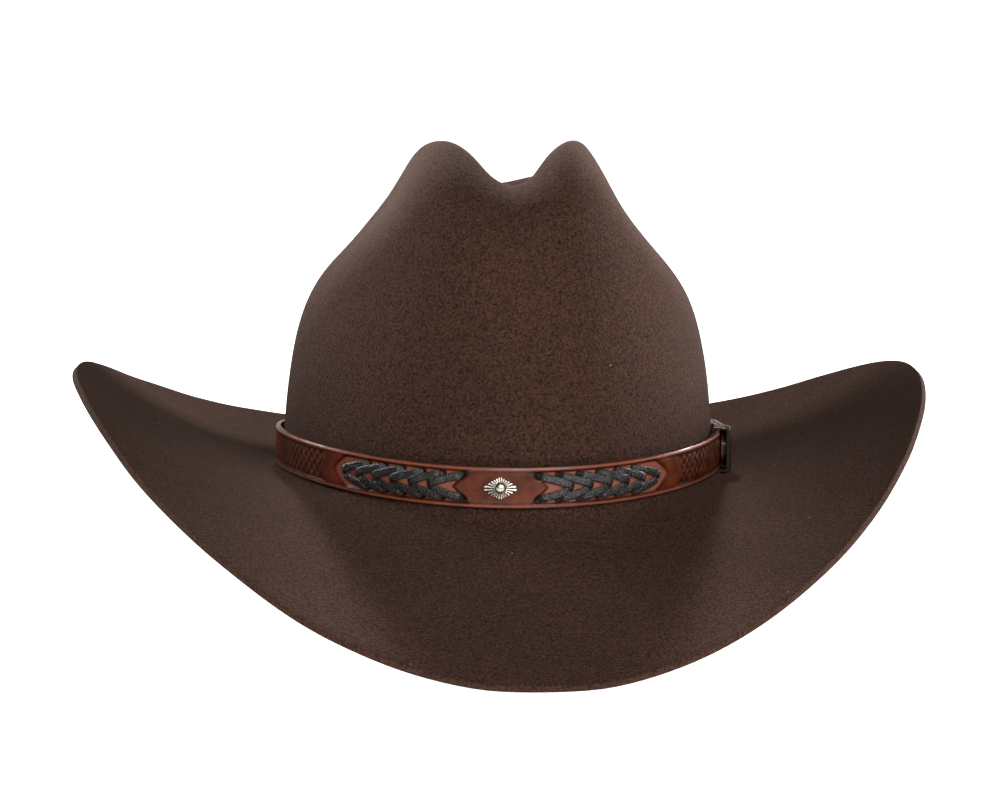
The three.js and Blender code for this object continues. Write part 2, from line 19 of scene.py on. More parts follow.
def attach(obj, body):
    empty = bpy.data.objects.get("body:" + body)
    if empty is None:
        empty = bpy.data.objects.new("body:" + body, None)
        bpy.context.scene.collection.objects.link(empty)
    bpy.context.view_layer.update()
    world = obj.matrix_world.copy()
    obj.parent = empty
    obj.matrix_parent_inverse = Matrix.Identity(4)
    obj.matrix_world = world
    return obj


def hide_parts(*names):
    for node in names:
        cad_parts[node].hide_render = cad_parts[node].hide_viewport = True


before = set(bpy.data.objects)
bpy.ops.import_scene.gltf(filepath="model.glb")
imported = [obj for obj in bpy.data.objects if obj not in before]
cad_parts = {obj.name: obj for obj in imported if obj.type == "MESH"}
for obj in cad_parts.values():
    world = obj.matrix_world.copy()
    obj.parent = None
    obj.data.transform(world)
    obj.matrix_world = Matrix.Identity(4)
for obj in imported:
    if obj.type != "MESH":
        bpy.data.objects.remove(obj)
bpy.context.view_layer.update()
random.seed(58)

# %% [markdown]
# ## The shape of the felt
# A felt hat is one thick disc of matted wool that steam and a wooden block have pulled into a crown
# and a brim. It could be sculpted, but its form is made of a few clear moves: an oval where the
# brim breaks, a brim whose slope turns from curled sides to a dipped front, a wall that leans in to
# the crease, and dents pressed by hand. Each is a short formula round the hat by the angle theta:
# 0 is the wearer's left, 90 degrees the rear and 270 degrees the front.

# %% The brim joint
MM = 0.001
FELT = 2.5
HEAD_X, HEAD_Y = 87.5, 104.0
TILT, JOINT_Z, SADDLE, CENTRE_Y = radians(7.5), 27.0, 3.5, -2.6
FRONT = -pi / 2
BRIM_WIDE, SIDE_LESS, QUARTER_LESS = 101, 6, 12
JOINT_SLOPE, EDGE_SLOPE = (-7, -24, 9), (-1.7, -17, 47)  # degrees at the rear, front and sides
RIDGE_REAR, RIDGE_FRONT, CREST_REAR, CREST_FRONT = 130, 145, 74, -66
DENT_DEEP, DENT_Y, DENT_Z = 11.5, -12, 110
CREASE_LOW, CREASE_SAG, CREASE_FRONT, CREASE_REAR = 108, 5, -44, 48


def mix(a, b, t):
    return a + (b - a) * t


def smooth(t):
    t = min(max(t, 0.0), 1.0)
    return t * t * (3 - 2 * t)


def bell(t):
    return exp(-t * t)


def saddle(theta):
    return SADDLE * cos(2 * theta)


def oval(theta):
    """A point of the brim joint and the direction straight out of it."""
    nx, ny = cos(theta) / HEAD_X, sin(theta) / HEAD_Y
    long = hypot(nx, ny)
    return HEAD_X * cos(theta), HEAD_Y * sin(theta), nx / long, ny / long


def stand(x, y, z):
    """From the frame of the brim joint, in millimetres, to the standing hat in metres."""
    return MM * Vector(
        (x, y * cos(TILT) + z * sin(TILT) + CENTRE_Y, JOINT_Z - y * sin(TILT) + z * cos(TILT))
    )


print("head size", round(pi * (HEAD_X + HEAD_Y - 2 * 5.6) / 10, 1), "cm round inside the sweatband")


# %% The brim: an arc along each meridian, from the joint to the cut edge
def brim(theta, share):
    c, s = cos(theta), sin(theta)
    side, front = (c * c) ** 0.96, (1 - s) / 2
    start, end = (
        radians(mix(mix(rear, fore, front), curl, side)) for rear, fore, curl in (JOINT_SLOPE, EDGE_SLOPE)
    )
    width = BRIM_WIDE - SIDE_LESS * c * c - QUARTER_LESS * sin(2 * theta) ** 2
    bend = end - start or 1e-4
    slope = start + bend * share
    run, rise = width * (sin(slope) - sin(start)) / bend, width * (cos(start) - cos(slope)) / bend
    x, y, nx, ny = oval(theta)
    return stand(x, y, saddle(theta)) + MM * Vector((nx * run, ny * run, rise))


# %% The crown: the crest, the wall with its thumb dents, and the centre crease
def crest(theta):
    c, s = cos(theta), sin(theta)
    front = (1 - s) / 2
    x = mix(38, 34, smooth(front)) * math.copysign(abs(c) ** 0.75, c)
    z = mix(RIDGE_REAR, RIDGE_FRONT, smooth((front - 0.1) / 0.9))
    z -= 27.5 * bell(x / 19) * smooth((front - 0.5) / 0.3)
    z -= 9 * bell(x / 26) * smooth((0.5 - front) / 0.3)
    return x, mix(CREST_FRONT, CREST_REAR, (1 + s) / 2), z


def bezier(a, b, c, d, t):
    return (1 - t) ** 3 * a + 3 * t * (1 - t) ** 2 * b + 3 * t * t * (1 - t) * c + t**3 * d


def wall(theta, share):
    c, s = cos(theta), sin(theta)
    side = c * c
    x0, y0, nx, ny = oval(theta)
    x1, y1, z1 = crest(theta)
    rise = mix(66, 95, side)
    lean = tan(radians(mix(6 if s < 0 else 3, 0, side))) * rise
    out = mix(30 if s < 0 else 26, 22, side)
    drop = mix(0 if s < 0 else 4, 34, side)
    x = bezier(x0, x0 - nx * lean, x1 + nx * out, x1, share)
    y = bezier(y0, y0 - ny * lean, y1 + ny * out, y1, share)
    z = bezier(saddle(theta), saddle(theta) + rise, z1 - drop, z1, share)
    press = DENT_DEEP * bell((y - DENT_Y) / 50) * bell((z - DENT_Z + 0.1 * (y - DENT_Y)) / 22) * abs(c) ** 0.5
    return x - math.copysign(min(press, abs(x) * 0.8), x), y, z


def crease(theta, share):
    x1, y1, z1 = crest(theta)
    floor_y = min(max(y1, CREASE_FRONT), CREASE_REAR)
    u = (floor_y - CREASE_FRONT) / (CREASE_REAR - CREASE_FRONT)
    floor_z = CREASE_LOW - 4 * CREASE_SAG * u * (1 - u)
    dy = y1 - floor_y
    reach = hypot(x1, dy) + 1e-6
    lip = min(14, reach / 2) / reach
    return (
        bezier(x1, x1 * (1 - lip), x1 * 0.45, 0, share),
        bezier(y1, y1 - dy * lip, floor_y + dy * 0.45, floor_y, share),
        bezier(z1, z1, floor_z, floor_z, share),
    )


print("front ridge stands", round(1000 * stand(*crest(FRONT + 0.7)).z), "mm above the table")

# %% [markdown]
# ## Sheets that remember where they lie
# Felt, straps, laces and linings are all sheets. One helper starts each of them as a grid and notes
# every vertex's place on it, u along and v across, from 0 to 1. The grid is then moved into shape by
# a function of u and v. For a sheet with thickness the faces are extruded first, and the function
# is told which side a vertex is on. Holes are faces left out before that, so they get walls too.


# %% Make a sheet, and turn a finished bmesh into a riding piece
def sheet(columns, rows, place, size=(1, 1), thick=False, holes=None, stain_and_painted_light=None):
    bm = bmesh.new()
    along, across, side = (bm.verts.layers.float.new(n) for n in ("along", "across", "side"))
    depth = bm.verts.layers.float.new("stain_and_painted_light")
    bmesh.ops.create_grid(bm, x_segments=columns, y_segments=rows, size=1)
    for v in bm.verts:
        v[along], v[across] = (v.co.x + 1) / 2, (v.co.y + 1) / 2
    if holes:
        gone = [f for f in bm.faces if holes(*(f.calc_center_median().xy * 0.5 + Vector((0.5, 0.5))))]
        bmesh.ops.delete(bm, geom=gone, context="FACES")
    if not thick:
        uv = bm.loops.layers.uv.new("UVMap")
        for loop in (loop for f in bm.faces for loop in f.loops):
            loop[uv].uv = (loop.vert[along] * size[0], loop.vert[across] * size[1])
    for v in bm.verts:
        v.co = place(v[along], v[across], 0)
    bmesh.ops.remove_doubles(bm, verts=bm.verts, dist=2e-6)
    if thick:
        uv = bm.loops.layers.uv.new("UVMap")
        for f in bm.faces:
            wraps = max(c.vert[along] for c in f.loops) - min(c.vert[along] for c in f.loops) > 0.5
            for loop in f.loops:
                u = loop.vert[along] + (1 if wraps and loop.vert[along] < 0.5 else 0)
                loop[uv].uv = (u * size[0], loop.vert[across] * size[1])
        made = bmesh.ops.extrude_face_region(bm, geom=bm.faces[:], use_keep_orig=True)["geom"]
        for v in (g for g in made if isinstance(g, bmesh.types.BMVert)):
            v[side] = 1
            v.co = place(v[along], v[across], 1)
    if stain_and_painted_light:
        for v in bm.verts:
            v[depth] = stain_and_painted_light(v[along], v[across]) if v[side] < 0.5 else 0
    return bm


def piece(bm, name, material, body, replaces=(), sharp=40, levels=0, up=None):
    bmesh.ops.recalc_face_normals(bm, faces=bm.faces)
    if up and sum(f.normal.dot(Vector(up)) * f.calc_area() for f in bm.faces) < 0:
        bmesh.ops.reverse_faces(bm, faces=bm.faces)
    mesh = bpy.data.meshes.new(name)
    bm.to_mesh(mesh)
    bm.free()
    made = bpy.data.objects.new(name, mesh)
    bpy.context.scene.collection.objects.link(made)
    mesh.materials.append(material)
    mesh.shade_smooth()
    mesh.set_sharp_from_angle(angle=radians(sharp))
    if levels:
        finer = made.modifiers.new("finer", "SUBSURF")
        finer.levels = finer.render_levels = levels
    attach(made, body)
    if replaces:
        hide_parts(*replaces)
    print(name, len(mesh.polygons), "faces,", [round(d * 1000, 1) for d in made.dimensions], "mm")
    return made


# %% [markdown]
# ## Wool felt
# Felt has no weave. Wool fibres are matted together, sanded fine and brushed, and what the eye gets
# is a matte, slightly mottled brown with a soft bloom where the nap catches light from the side, a
# few paler hairs, and the odd fleck of lint. So the colour comes from noise at the size of a tuft of
# fibres, the bump from finer noise, and the bloom from the shader's sheen.


# %% Colours, and one function that adds a node
def linear(code):
    """An sRGB hex colour as the linear colour that a socket takes."""
    parts = [int(code[i : i + 2], 16) / 255 for i in (1, 3, 5)]
    return (*(p / 12.92 if p <= 0.04045 else ((p + 0.055) / 1.055) ** 2.4 for p in parts), 1)


def node(material, kind, inputs=(), **settings):
    """A node with its settings. An input that is another node's output is linked to it."""
    tree = material.node_tree
    made = tree.nodes.new(kind)
    for key, value in settings.items():
        setattr(made, key, value)
    for socket, value in dict(inputs).items():
        if isinstance(value, bpy.types.NodeSocket):
            tree.links.new(value, made.inputs[socket])
        else:
            made.inputs[socket].default_value = value
    return made


def start(name, **sockets):
    """A material with its one shader, whose constant sockets are set by name."""
    material = bpy.data.materials.new(name)
    material.use_nodes = True
    shader = material.node_tree.nodes["Principled BSDF"]
    for socket, value in sockets.items():
        shader.inputs[socket.replace("_", " ")].default_value = value
    return material, shader


def drive(material, shader, socket, output):
    material.node_tree.links.new(output, shader.inputs[socket])


# %% Brushed wool felt
felt, shader = start(
    "wool_felt_brushed", Roughness=0.97, Specular_IOR_Level=0.08, Sheen_Weight=0.07, Sheen_Roughness=0.5
)
shader.inputs["Sheen Tint"].default_value = linear("#b59684")
place = node(felt, "ShaderNodeTexCoord").outputs["Object"]
tuft = node(
    felt, "ShaderNodeTexNoise", {"Vector": place, "Scale": 1 / (1.0 * MM), "Detail": 3.0, "Roughness": 0.75}
)
fibre = node(
    felt, "ShaderNodeTexNoise", {"Vector": place, "Scale": 1 / (0.5 * MM), "Detail": 2.0, "Roughness": 0.6}
)
cloud = node(felt, "ShaderNodeTexNoise", {"Vector": place, "Scale": 1 / (38 * MM), "Detail": 3.0})
mottle = node(
    felt, "ShaderNodeMapRange", {"Value": tuft.outputs["Fac"], "From Min": 0.36, "From Max": 0.64}
)
pile = node(
    felt,
    "ShaderNodeMix",
    {0: mottle.outputs[0], 6: linear("#20140f"), 7: linear("#4a332a")},
    data_type="RGBA",
)
hairs = node(
    felt,
    "ShaderNodeMapRange",
    {"Value": fibre.outputs["Fac"], "From Min": 0.6, "From Max": 0.78, "To Max": 0.5},
)
flecked = node(
    felt, "ShaderNodeMix", {0: hairs.outputs[0], 6: pile.outputs[2], 7: linear("#725748")}, data_type="RGBA"
)
shift = node(
    felt,
    "ShaderNodeMapRange",
    {"Value": cloud.outputs["Fac"], "From Min": 0.3, "From Max": 0.7, "To Min": 0.93, "To Max": 1.07},
)
uneven = node(felt, "ShaderNodeHueSaturation", {"Color": flecked.outputs[2], "Value": shift.outputs[0]})
lint = node(felt, "ShaderNodeTexVoronoi", {"Vector": place, "Scale": 1 / (17 * MM)})
speck = node(felt, "ShaderNodeMath", {0: lint.outputs["Distance"], 1: 0.022}, operation="LESS_THAN")
dusted = node(
    felt,
    "ShaderNodeMix",
    {0: speck.outputs[0], 6: uneven.outputs[0], 7: linear("#8d7a6c")},
    data_type="RGBA",
)
drive(felt, shader, "Base Color", dusted.outputs[2])
nap = node(felt, "ShaderNodeBump", {"Height": tuft.outputs["Fac"], "Strength": 0.55, "Distance": 0.5 * MM})
fuzz = node(
    felt,
    "ShaderNodeBump",
    {"Height": fibre.outputs["Fac"], "Strength": 0.45, "Distance": 0.3 * MM, "Normal": nap.outputs[0]},
)
drive(felt, shader, "Normal", fuzz.outputs[0])
print("felt tufts 1 mm, fibres 0.5 mm, one speck of lint every 17 mm")

# %% [markdown]
# ## The felt body
# The whole felt is one sheet: round the hat by u, and by v from the cut edge up the brim, up the
# wall and down into the crease, where the meridians from both sides meet and are merged. Steam
# never leaves a sharp fold, so the vertices near the crest are smoothed many times, and those at the
# brim joint a little. Solidify then gives the sheet the thickness of the felt, on the inside, and
# a small bevel takes the raw edge off where the brim was cut.

# %% Shape the felt
AROUND, BRIM_ROWS, WALL_ROWS, CREASE_ROWS = 128, 15, 28, 16
ROWS = BRIM_ROWS + WALL_ROWS + CREASE_ROWS


def felt_place(u, v, _side):
    theta, row = 2 * pi * u, v * ROWS
    if row < BRIM_ROWS - 0.01:
        return brim(theta, 1 - row / BRIM_ROWS)
    if row < BRIM_ROWS + WALL_ROWS:
        return stand(*wall(theta, (row - BRIM_ROWS) / WALL_ROWS))
    return stand(*crease(theta, (row - BRIM_ROWS - WALL_ROWS) / CREASE_ROWS))


bm = sheet(AROUND, ROWS, felt_place)
across = bm.verts.layers.float["across"]


def steam(row, reach, passes, factor=0.5):
    near = [v for v in bm.verts if abs(v[across] * ROWS - row) <= reach]
    for _ in range(passes):
        bmesh.ops.smooth_vert(
            bm, verts=near, factor=factor, use_axis_x=True, use_axis_y=True, use_axis_z=True
        )


for reach in (9, 7, 5, 3):
    steam(BRIM_ROWS + WALL_ROWS, reach, 6)
steam(BRIM_ROWS, 1, 2)
steam(ROWS, 3, 3)
bm.normal_update()
lowest = (FELT + 0.05) * MM
for v in bm.verts:
    wave = noise.noise(v.co / 0.055) * 0.7 + noise.noise(v.co / 0.021) * 0.22
    v.co += v.normal * wave * MM
    over = v.co.z - lowest
    v.co.z = lowest + 0.5 * (over + hypot(over, 0.4 * MM))
body = piece(bm, "felt_body_visual", felt, "hat", ["felt_body"], sharp=180, levels=1, up=(0, 0, 1))
shell = body.modifiers.new("felt thickness", "SOLIDIFY")
shell.thickness, shell.offset, shell.use_even_offset = FELT * MM, -1, True
trim = body.modifiers.new("trimmed edge", "BEVEL")
trim.width, trim.segments, trim.limit_method, trim.angle_limit = 0.6 * MM, 2, "ANGLE", radians(60)

# %% [markdown]
# ## The path of the hatband
# The band is a strap of cowhide laid round the crown on the brim joint. Everything on it is placed
# by three measures: the distance along the band from the concho, the distance out from the felt, and
# the height above the joint. An oval has no simple formula for distance along it, so a table of
# small steps is made once and read backwards.

# %% Distance along the band, out, and up
LOW, HIGH, INNER, OUTER, CREEP = 3.5, 18.5, 1.4, 3.4, -8.0
MID, HALF = (LOW + HIGH) / 2, (HIGH - LOW) / 2
TABLE = [0.0]
for i in range(720):
    ends = []
    for theta in (FRONT + pi * i / 360, FRONT + pi * (i + 1) / 360):
        x, y, nx, ny = oval(theta)
        ends.append((x + 2.4 * nx, y + 2.4 * ny))
    TABLE.append(TABLE[-1] + math.dist(*ends))
TURN = TABLE[-1]


@functools.cache
def place_on_band(distance):
    s = (distance + CREEP) % TURN
    low, high = 0, 720
    while high - low > 1:
        middle = (low + high) // 2
        low, high = (middle, high) if TABLE[middle] <= s else (low, middle)
    theta = FRONT + pi * (low + (s - TABLE[low]) / (TABLE[low + 1] - TABLE[low])) / 360
    return (*oval(theta), saddle(theta))


def band(distance, out, up):
    x, y, nx, ny, rise = place_on_band(round(distance, 4))
    return stand(x + nx * out, y + ny * out, rise + up)


print("the band is", round(TURN), "mm round")

# %% [markdown]
# ## Antiqued cowhide
# The strap is vegetable-tanned cowhide, dyed cognac, then rubbed with a dark antique paste that stays
# in whatever was pressed or cut into it, and glazed. So one number per vertex says how dark or light
# to paint it: where the tool went deep the paste turns it nearly black, and the same number paints
# shade, nearly black, into the lace holes and under the keeper; below zero, on the bevelled edges,
# the panel floors and the raised stamp ridges, it paints a lighter, pinker highlight. The glaze is a
# thin clear coat that catches the lamps, over a surface with fine pores.

# %% Cognac strap leather
strap_leather, shader = start(
    "cowhide_cognac_antiqued_painted_light", Roughness=0.42, Specular_IOR_Level=0.22, Coat_Weight=0.1, Coat_Roughness=0.12
)
place = node(strap_leather, "ShaderNodeTexCoord").outputs["Object"]
# The attribute holds the paste, the painted shade and the painted highlight.
depth = node(strap_leather, "ShaderNodeAttribute", attribute_name="stain_and_painted_light").outputs["Fac"]
cloud = node(
    strap_leather,
    "ShaderNodeTexNoise",
    {"Vector": place, "Scale": 1 / (7 * MM), "Detail": 5.0, "Roughness": 0.6},
)
streak = node(
    strap_leather, "ShaderNodeMapRange", {"Value": cloud.outputs["Fac"], "From Min": 0.32, "From Max": 0.68}
)
hide = node(
    strap_leather,
    "ShaderNodeMix",
    {0: streak.outputs[0], 6: linear("#3a1508"), 7: linear("#6b2f14")},
    data_type="RGBA",
)
# Dark antique paste where the tool went deep, and painted shade in the lace holes and under the keeper.
paste_and_painted_shade = node(
    strap_leather,
    "ShaderNodeMapRange",
    {"Value": depth, "From Min": 0.08, "From Max": 0.75, "To Max": 0.93},
)
stained_and_shaded = node(
    strap_leather,
    "ShaderNodeMix",
    {0: paste_and_painted_shade.outputs[0], 6: hide.outputs[2], 7: linear("#170805")},
    data_type="RGBA",
)
# Painted highlight: lighter, pinker colour on the bevelled edges, the panel floors and the stamp ridges.
painted_highlight = node(
    strap_leather,
    "ShaderNodeMapRange",
    {"Value": depth, "From Min": -0.06, "From Max": -0.4, "To Max": 0.75},
)
with_painted_highlight = node(
    strap_leather,
    "ShaderNodeMix",
    {0: painted_highlight.outputs[0], 6: stained_and_shaded.outputs[2], 7: linear("#a06152")},
    data_type="RGBA",
)
drive(strap_leather, shader, "Base Color", with_painted_highlight.outputs[2])
pores = node(strap_leather, "ShaderNodeTexVoronoi", {"Vector": place, "Scale": 1 / (0.75 * MM)})
wrinkle = node(
    strap_leather, "ShaderNodeTexNoise", {"Vector": place, "Scale": 1 / (2.2 * MM), "Detail": 4.0}
)
soft = node(
    strap_leather,
    "ShaderNodeBump",
    {"Height": wrinkle.outputs["Fac"], "Strength": 0.35, "Distance": 0.3 * MM},
)
grain = node(
    strap_leather,
    "ShaderNodeBump",
    {"Height": pores.outputs["Distance"], "Strength": 0.3, "Distance": 0.12 * MM, "Normal": soft.outputs[0]},
)
drive(strap_leather, shader, "Normal", grain.outputs[0])
gloss = node(
    strap_leather, "ShaderNodeMapRange", {"Value": wrinkle.outputs["Fac"], "To Min": 0.26, "To Max": 0.46}
)
drive(strap_leather, shader, "Roughness", gloss.outputs[0])
print("leather pores 0.75 mm, wrinkles 2.2 mm, dye clouds 7 mm")

# %% [markdown]
# ## What the tools pressed into the strap
# The strap could be a plain strip with a painted pattern, but most of its light and shade come from
# real depth. Each tool is a small function of the distance s and the height h from the strap's middle
# line, and gives a depth in millimetres: the sunken lacing panels with their swallow-tailed inner
# ends, the holes for the lace, the chevrons next to the panels, the crease along the edges and the
# basket stamp round the sides and the back. The deepest one wins. Each tool also gives a colour
# number: antique paste in its grooves, painted highlight on the bevelled edges, the panel floors and
# the stamp ridges, and painted shade in the lace holes.

# %% The tooling as depths, and as paste, painted highlight and painted shade
PANEL_IN, PANEL_OUT, PANEL_HALF = 12.0, 72.0, 5.9
LACE_TIPS = [27 + 8 * i for i in range(6)]
STAMP_FROM, STAMP = 78.0, 4.4
HEEL, REST, TIP, KEEPER = 176.0, 190.0, 133.0, 136.0


def panel_edge(s, h):
    """How far inside the lacing panel a point is, in millimetres; less than 0 is outside it."""
    notch = abs(s) - PANEL_IN - 5.5 * (1 - min(abs(h) / PANEL_HALF, 1))
    blunt = (PANEL_OUT - 7 * (abs(h) / PANEL_HALF) ** 1.6 - abs(s)) * 0.7
    return min(notch * 0.74, PANEL_HALF - abs(h), blunt)


def groove(off, wide, deep):
    return deep * max(0.0, 1 - (off / wide) ** 2)


def basket(s, h):
    """Rows of crossed bars between a scalloped border and the strap's edge."""
    a, b = pi * (s + h) / STAMP, pi * (s - h) / STAMP
    bar = max(0.0, 1 - min(abs(sin(a)), abs(sin(b))) / 0.34)
    return 0.42 * (1 - bar) * (0.75 + 0.25 * abs(sin(a) * sin(b)))


def tooling(s, h):
    place = s + TURN if s < -TURN / 2 else s
    edge = HALF - abs(h)
    depth = 0.5 * max(0.0, 1 - edge / 1.0) ** 2
    # Painted highlight: the bevelled edge is painted lighter and pinker.
    colour = -0.42 * max(0.0, 1 - abs(edge - 0.7) / 0.8)
    depth, colour = depth + groove(edge - 1.75, 0.42, 0.16), colour + groove(edge - 1.75, 0.5, 0.45)
    inside = panel_edge(s, h)
    if inside > -0.8:
        sunk = smooth(inside / 0.55 + 0.3)
        depth = max(depth, 0.72 * sunk)
        # Painted highlight: the panel floor is painted lighter and pinker, as its sheen; its outline groove
        # gets dark paste.
        colour = mix(colour, -0.3, sunk) + groove(inside + 0.1, 0.55, 0.6)
        line = abs(s) - PANEL_IN - 8.6 - 5.5 * (1 - abs(h) / PANEL_HALF)
        if inside > 0.9 and abs(s) < PANEL_IN + 14.5:
            depth, colour = depth + groove(line, 0.5, 0.3), colour + groove(line, 0.5, 0.75)
        for tip in LACE_TIPS:
            hole = hypot(abs(s) - (tip - 13), (abs(h) - 4.3) * 1.15)
            # Painted shade: each lace hole is painted nearly black inside.
            if hole < 1.75:
                depth, colour = depth + 1.0 * smooth((1.75 - hole) / 0.5), mix(
                    colour, 0.9, smooth(2 - hole)
                )
    if abs(s) < PANEL_IN + 6:
        plain = PANEL_IN - 0.9 + 5.5 * (1 - abs(h) / PANEL_HALF) - abs(s)
        if abs(h) < PANEL_HALF:
            depth, colour = depth + groove(plain, 0.45, 0.14), colour + groove(plain, 0.45, 0.4)
    stamped = min(abs(s) - STAMP_FROM - 3.5 * (1 - abs(h) / 5.6), 5.2 - abs(h))
    if stamped > -0.7 and not (152 < place < HEEL + 20 and s > 0):
        scallop = 5.2 + 0.28 * abs(sin(pi * s / STAMP)) - abs(h)
        border = groove(min(stamped, scallop), 0.5, 0.35)
        tone = smooth(stamped / 0.5)
        depth += tone * basket(s, h) + border
        # Dark paste in the stamped cells and the border; the raised stamp ridges are painted lighter, a
        # painted highlight.
        colour += tone * (basket(s, h) * 2.5 - 0.36) + border * 1.4
    return depth, colour


def lift(s):
    """The strap leaves the felt behind the buckle, climbs over the heel bar and lies on itself."""
    place = s + TURN
    if place < TIP - 1 or place > REST:
        return 0.0
    return (2.3 + 1.35 * bell((place - HEEL) / 5)) * smooth((REST - 1.5 - place) / 8)


# %% [markdown]
# ## The strap
# The real strap is cut with a rounded point, the billet, and its other end is folded round the heel
# bar of the buckle, thinned where it bends, and riveted to itself. So the sheet for it runs from the
# tip of the billet once round the crown to the heel bar, round the bar, and back along the felt. It
# has slots for the tongue, holes in the billet, and half-millimetre steps that can hold the tooling.

# %% Build the strap
LENGTH = TURN - TIP + HEEL - 1.2
BEND, BACK = 7.0, 14.0
WHOLE = LENGTH + BEND + BACK
STEPS, ACROSS = 1220, 30


def strap_line(far):
    """Along the strap's length: distance on the band, out of its mid plane, lean, and thickness."""
    if far <= LENGTH:
        s = TIP - TURN + far
        thin = mix(2.0, 0.95, smooth((far - LENGTH + 5) / 5))
        out = (INNER + OUTER) / 2 + lift(s)
        return s, mix(out, EYE_OUT + 1.72, smooth((far - LENGTH + 5) / 5)), 0.0, thin
    if far <= LENGTH + BEND:
        turn = pi * (far - LENGTH) / BEND
        return HEEL - 1.2 + 1.72 * sin(turn) * 1.65, EYE_OUT + 1.72 * cos(turn) - 0.05 * turn, turn, 0.85
    return HEEL - 1.2 - (far - LENGTH - BEND), mix(0.8, 0.75, smooth((far - LENGTH - BEND) / 3)), pi, 0.7


EYE_OUT = 2.6


def strap_place(u, v, side):
    far = u * WHOLE
    h = (v * 2 - 1) * HALF
    s, out, turn, thick = strap_line(far)
    narrow = mix(0.3, 1, min(max(far / 7, 0), 1) ** 0.6)
    depth = 0.5 * max(0.0, 1 - (HALF - abs(h)) / 1.0) ** 2 if far > LENGTH - 6 else tooling(s, h)[0]
    if abs(h) > HALF - 0.01:
        depth = 0.32
    offset = thick / 2 - min(depth, thick * 0.8) if side == 0 else -thick / 2 + depth * 0.15 * (
        abs(h) > HALF - 1
    )
    return band(s + offset * sin(turn), out + offset * cos(turn), MID + h * narrow)


def strap_stain_and_painted_light(u, v):
    far, h = u * WHOLE, (v * 2 - 1) * HALF
    # Painted highlight: the edges of the folded end are painted lighter.
    if far >= LENGTH - 6:
        return -0.4 * max(0.0, 1 - (HALF - abs(h)) / 1.2)
    s = TIP - TURN + far
    place = s + TURN if s < -TURN / 2 else s
    # Painted shade: the strap under the keeper is painted nearly black, as the shade inside the loop.
    keeper_shade = smooth((place - KEEPER + 6) / 2) * smooth((KEEPER + 7 - place) / 3)
    return mix(tooling(s, h)[1], 0.9, keeper_shade)


def strap_holes(u, v):
    far, h = u * WHOLE, (v * 2 - 1) * HALF
    s = TIP - TURN + far
    if LENGTH - 3.0 < far < LENGTH + BEND - 1.6:
        return abs(h) < 2.0
    if HEEL + 0.5 < s + TURN < REST - 1:
        return abs(h) < 1.8
    return any(hypot(s + TURN - at, h) < 1.35 for at in (152, 162))


bm = sheet(STEPS, ACROSS, strap_place, (WHOLE * MM, 15 * MM), True, strap_holes, strap_stain_and_painted_light)
piece(bm, "strap", strap_leather, "hatband", ["hatband_strap"], sharp=55)

# %% [markdown]
# ## The lace
# A flat kangaroo lace, dyed black, crosses each sunken panel as a row of six arrowheads that point
# away from the concho. Every strand comes out of a hole near the edge, lies over the floor of the
# panel and ends at the arrowhead's point: the upper strand folds over there, and the lower one comes
# out from under it. Leather lace has a fine pebbled grain and a dull shine on its rounded back.

# %% Black lace leather
lace_leather, shader = start("kangaroo_lace_black", Roughness=0.33, Specular_IOR_Level=0.55)
place = node(lace_leather, "ShaderNodeTexCoord").outputs["Object"]
pebble = node(
    lace_leather, "ShaderNodeTexVoronoi", {"Vector": place, "Scale": 1 / (0.62 * MM), "Randomness": 0.8}
)
cell = node(
    lace_leather,
    "ShaderNodeMapRange",
    {"Value": pebble.outputs["Distance"], "From Min": 0.1, "From Max": 0.6},
)
black = node(
    lace_leather,
    "ShaderNodeMix",
    {0: cell.outputs[0], 6: linear("#31302f"), 7: linear("#131211")},
    data_type="RGBA",
)
drive(lace_leather, shader, "Base Color", black.outputs[2])
bead = node(
    lace_leather,
    "ShaderNodeBump",
    {"Height": pebble.outputs["Distance"], "Strength": 0.8, "Distance": 0.3 * MM},
    invert=True,
)
drive(lace_leather, shader, "Normal", bead.outputs[0])

# %% Lay the strands
LACE_WIDE, LACE_THICK, FLOOR = 3.25, 0.72, 2.75


def strand(side, tip, way):
    """One strand from its hole (u 0) to the point of the arrowhead (u 1)."""
    slip = random.uniform(-0.18, 0.18)
    swell = random.uniform(0.95, 1.05)
    over = way > 0

    def lie(u, v, face):
        s = mix(tip - 13.4, tip + (0.7 if over else -0.2), u) + slip * u
        h = way * mix(4.35, 0.1 if over else 1.0, u) + 0.35 * way * sin(pi * u)
        h -= way * 0.55 * smooth((u - 0.86) / 0.14) if over else 0
        top = FLOOR + 0.15 + (0.62 if over else 0.1) * smooth((u - 0.45) / 0.35)
        top -= 2.0 * smooth((0.17 - u) / 0.17) + (1.0 if over else 0.7) * smooth((u - 0.9) / 0.1)
        top += 0.22 * sin(pi * u)
        half = LACE_WIDE / 2 * swell * mix(0.72, 1, smooth(u / 0.14)) * mix(
            1, 0.8, smooth((u - 0.88) / 0.12)
        )
        w = v * 2 - 1
        run, climb = 14.0, -way * 4.1
        long = hypot(run, climb)
        thick = LACE_THICK * (max(0.0, 1 - abs(w) ** 3.2)) ** 0.5
        out = top + LACE_THICK / 2 + (thick / 2 if face == 0 else -thick / 2)
        return band(side * (s - climb / long * w * half), out, MID + h + run / long * w * half)

    return sheet(22, 8, lie, (14.6 * MM, 2.9 * MM), True)


def merge(parts):
    """Several closed bmeshes as one."""
    whole = bmesh.new()
    for part in parts:
        mesh = bpy.data.meshes.new("part")
        bmesh.ops.remove_doubles(part, verts=part.verts, dist=1e-6)
        bmesh.ops.recalc_face_normals(part, faces=part.faces)
        part.to_mesh(mesh)
        part.free()
        whole.from_mesh(mesh)
        bpy.data.meshes.remove(mesh)
    return whole


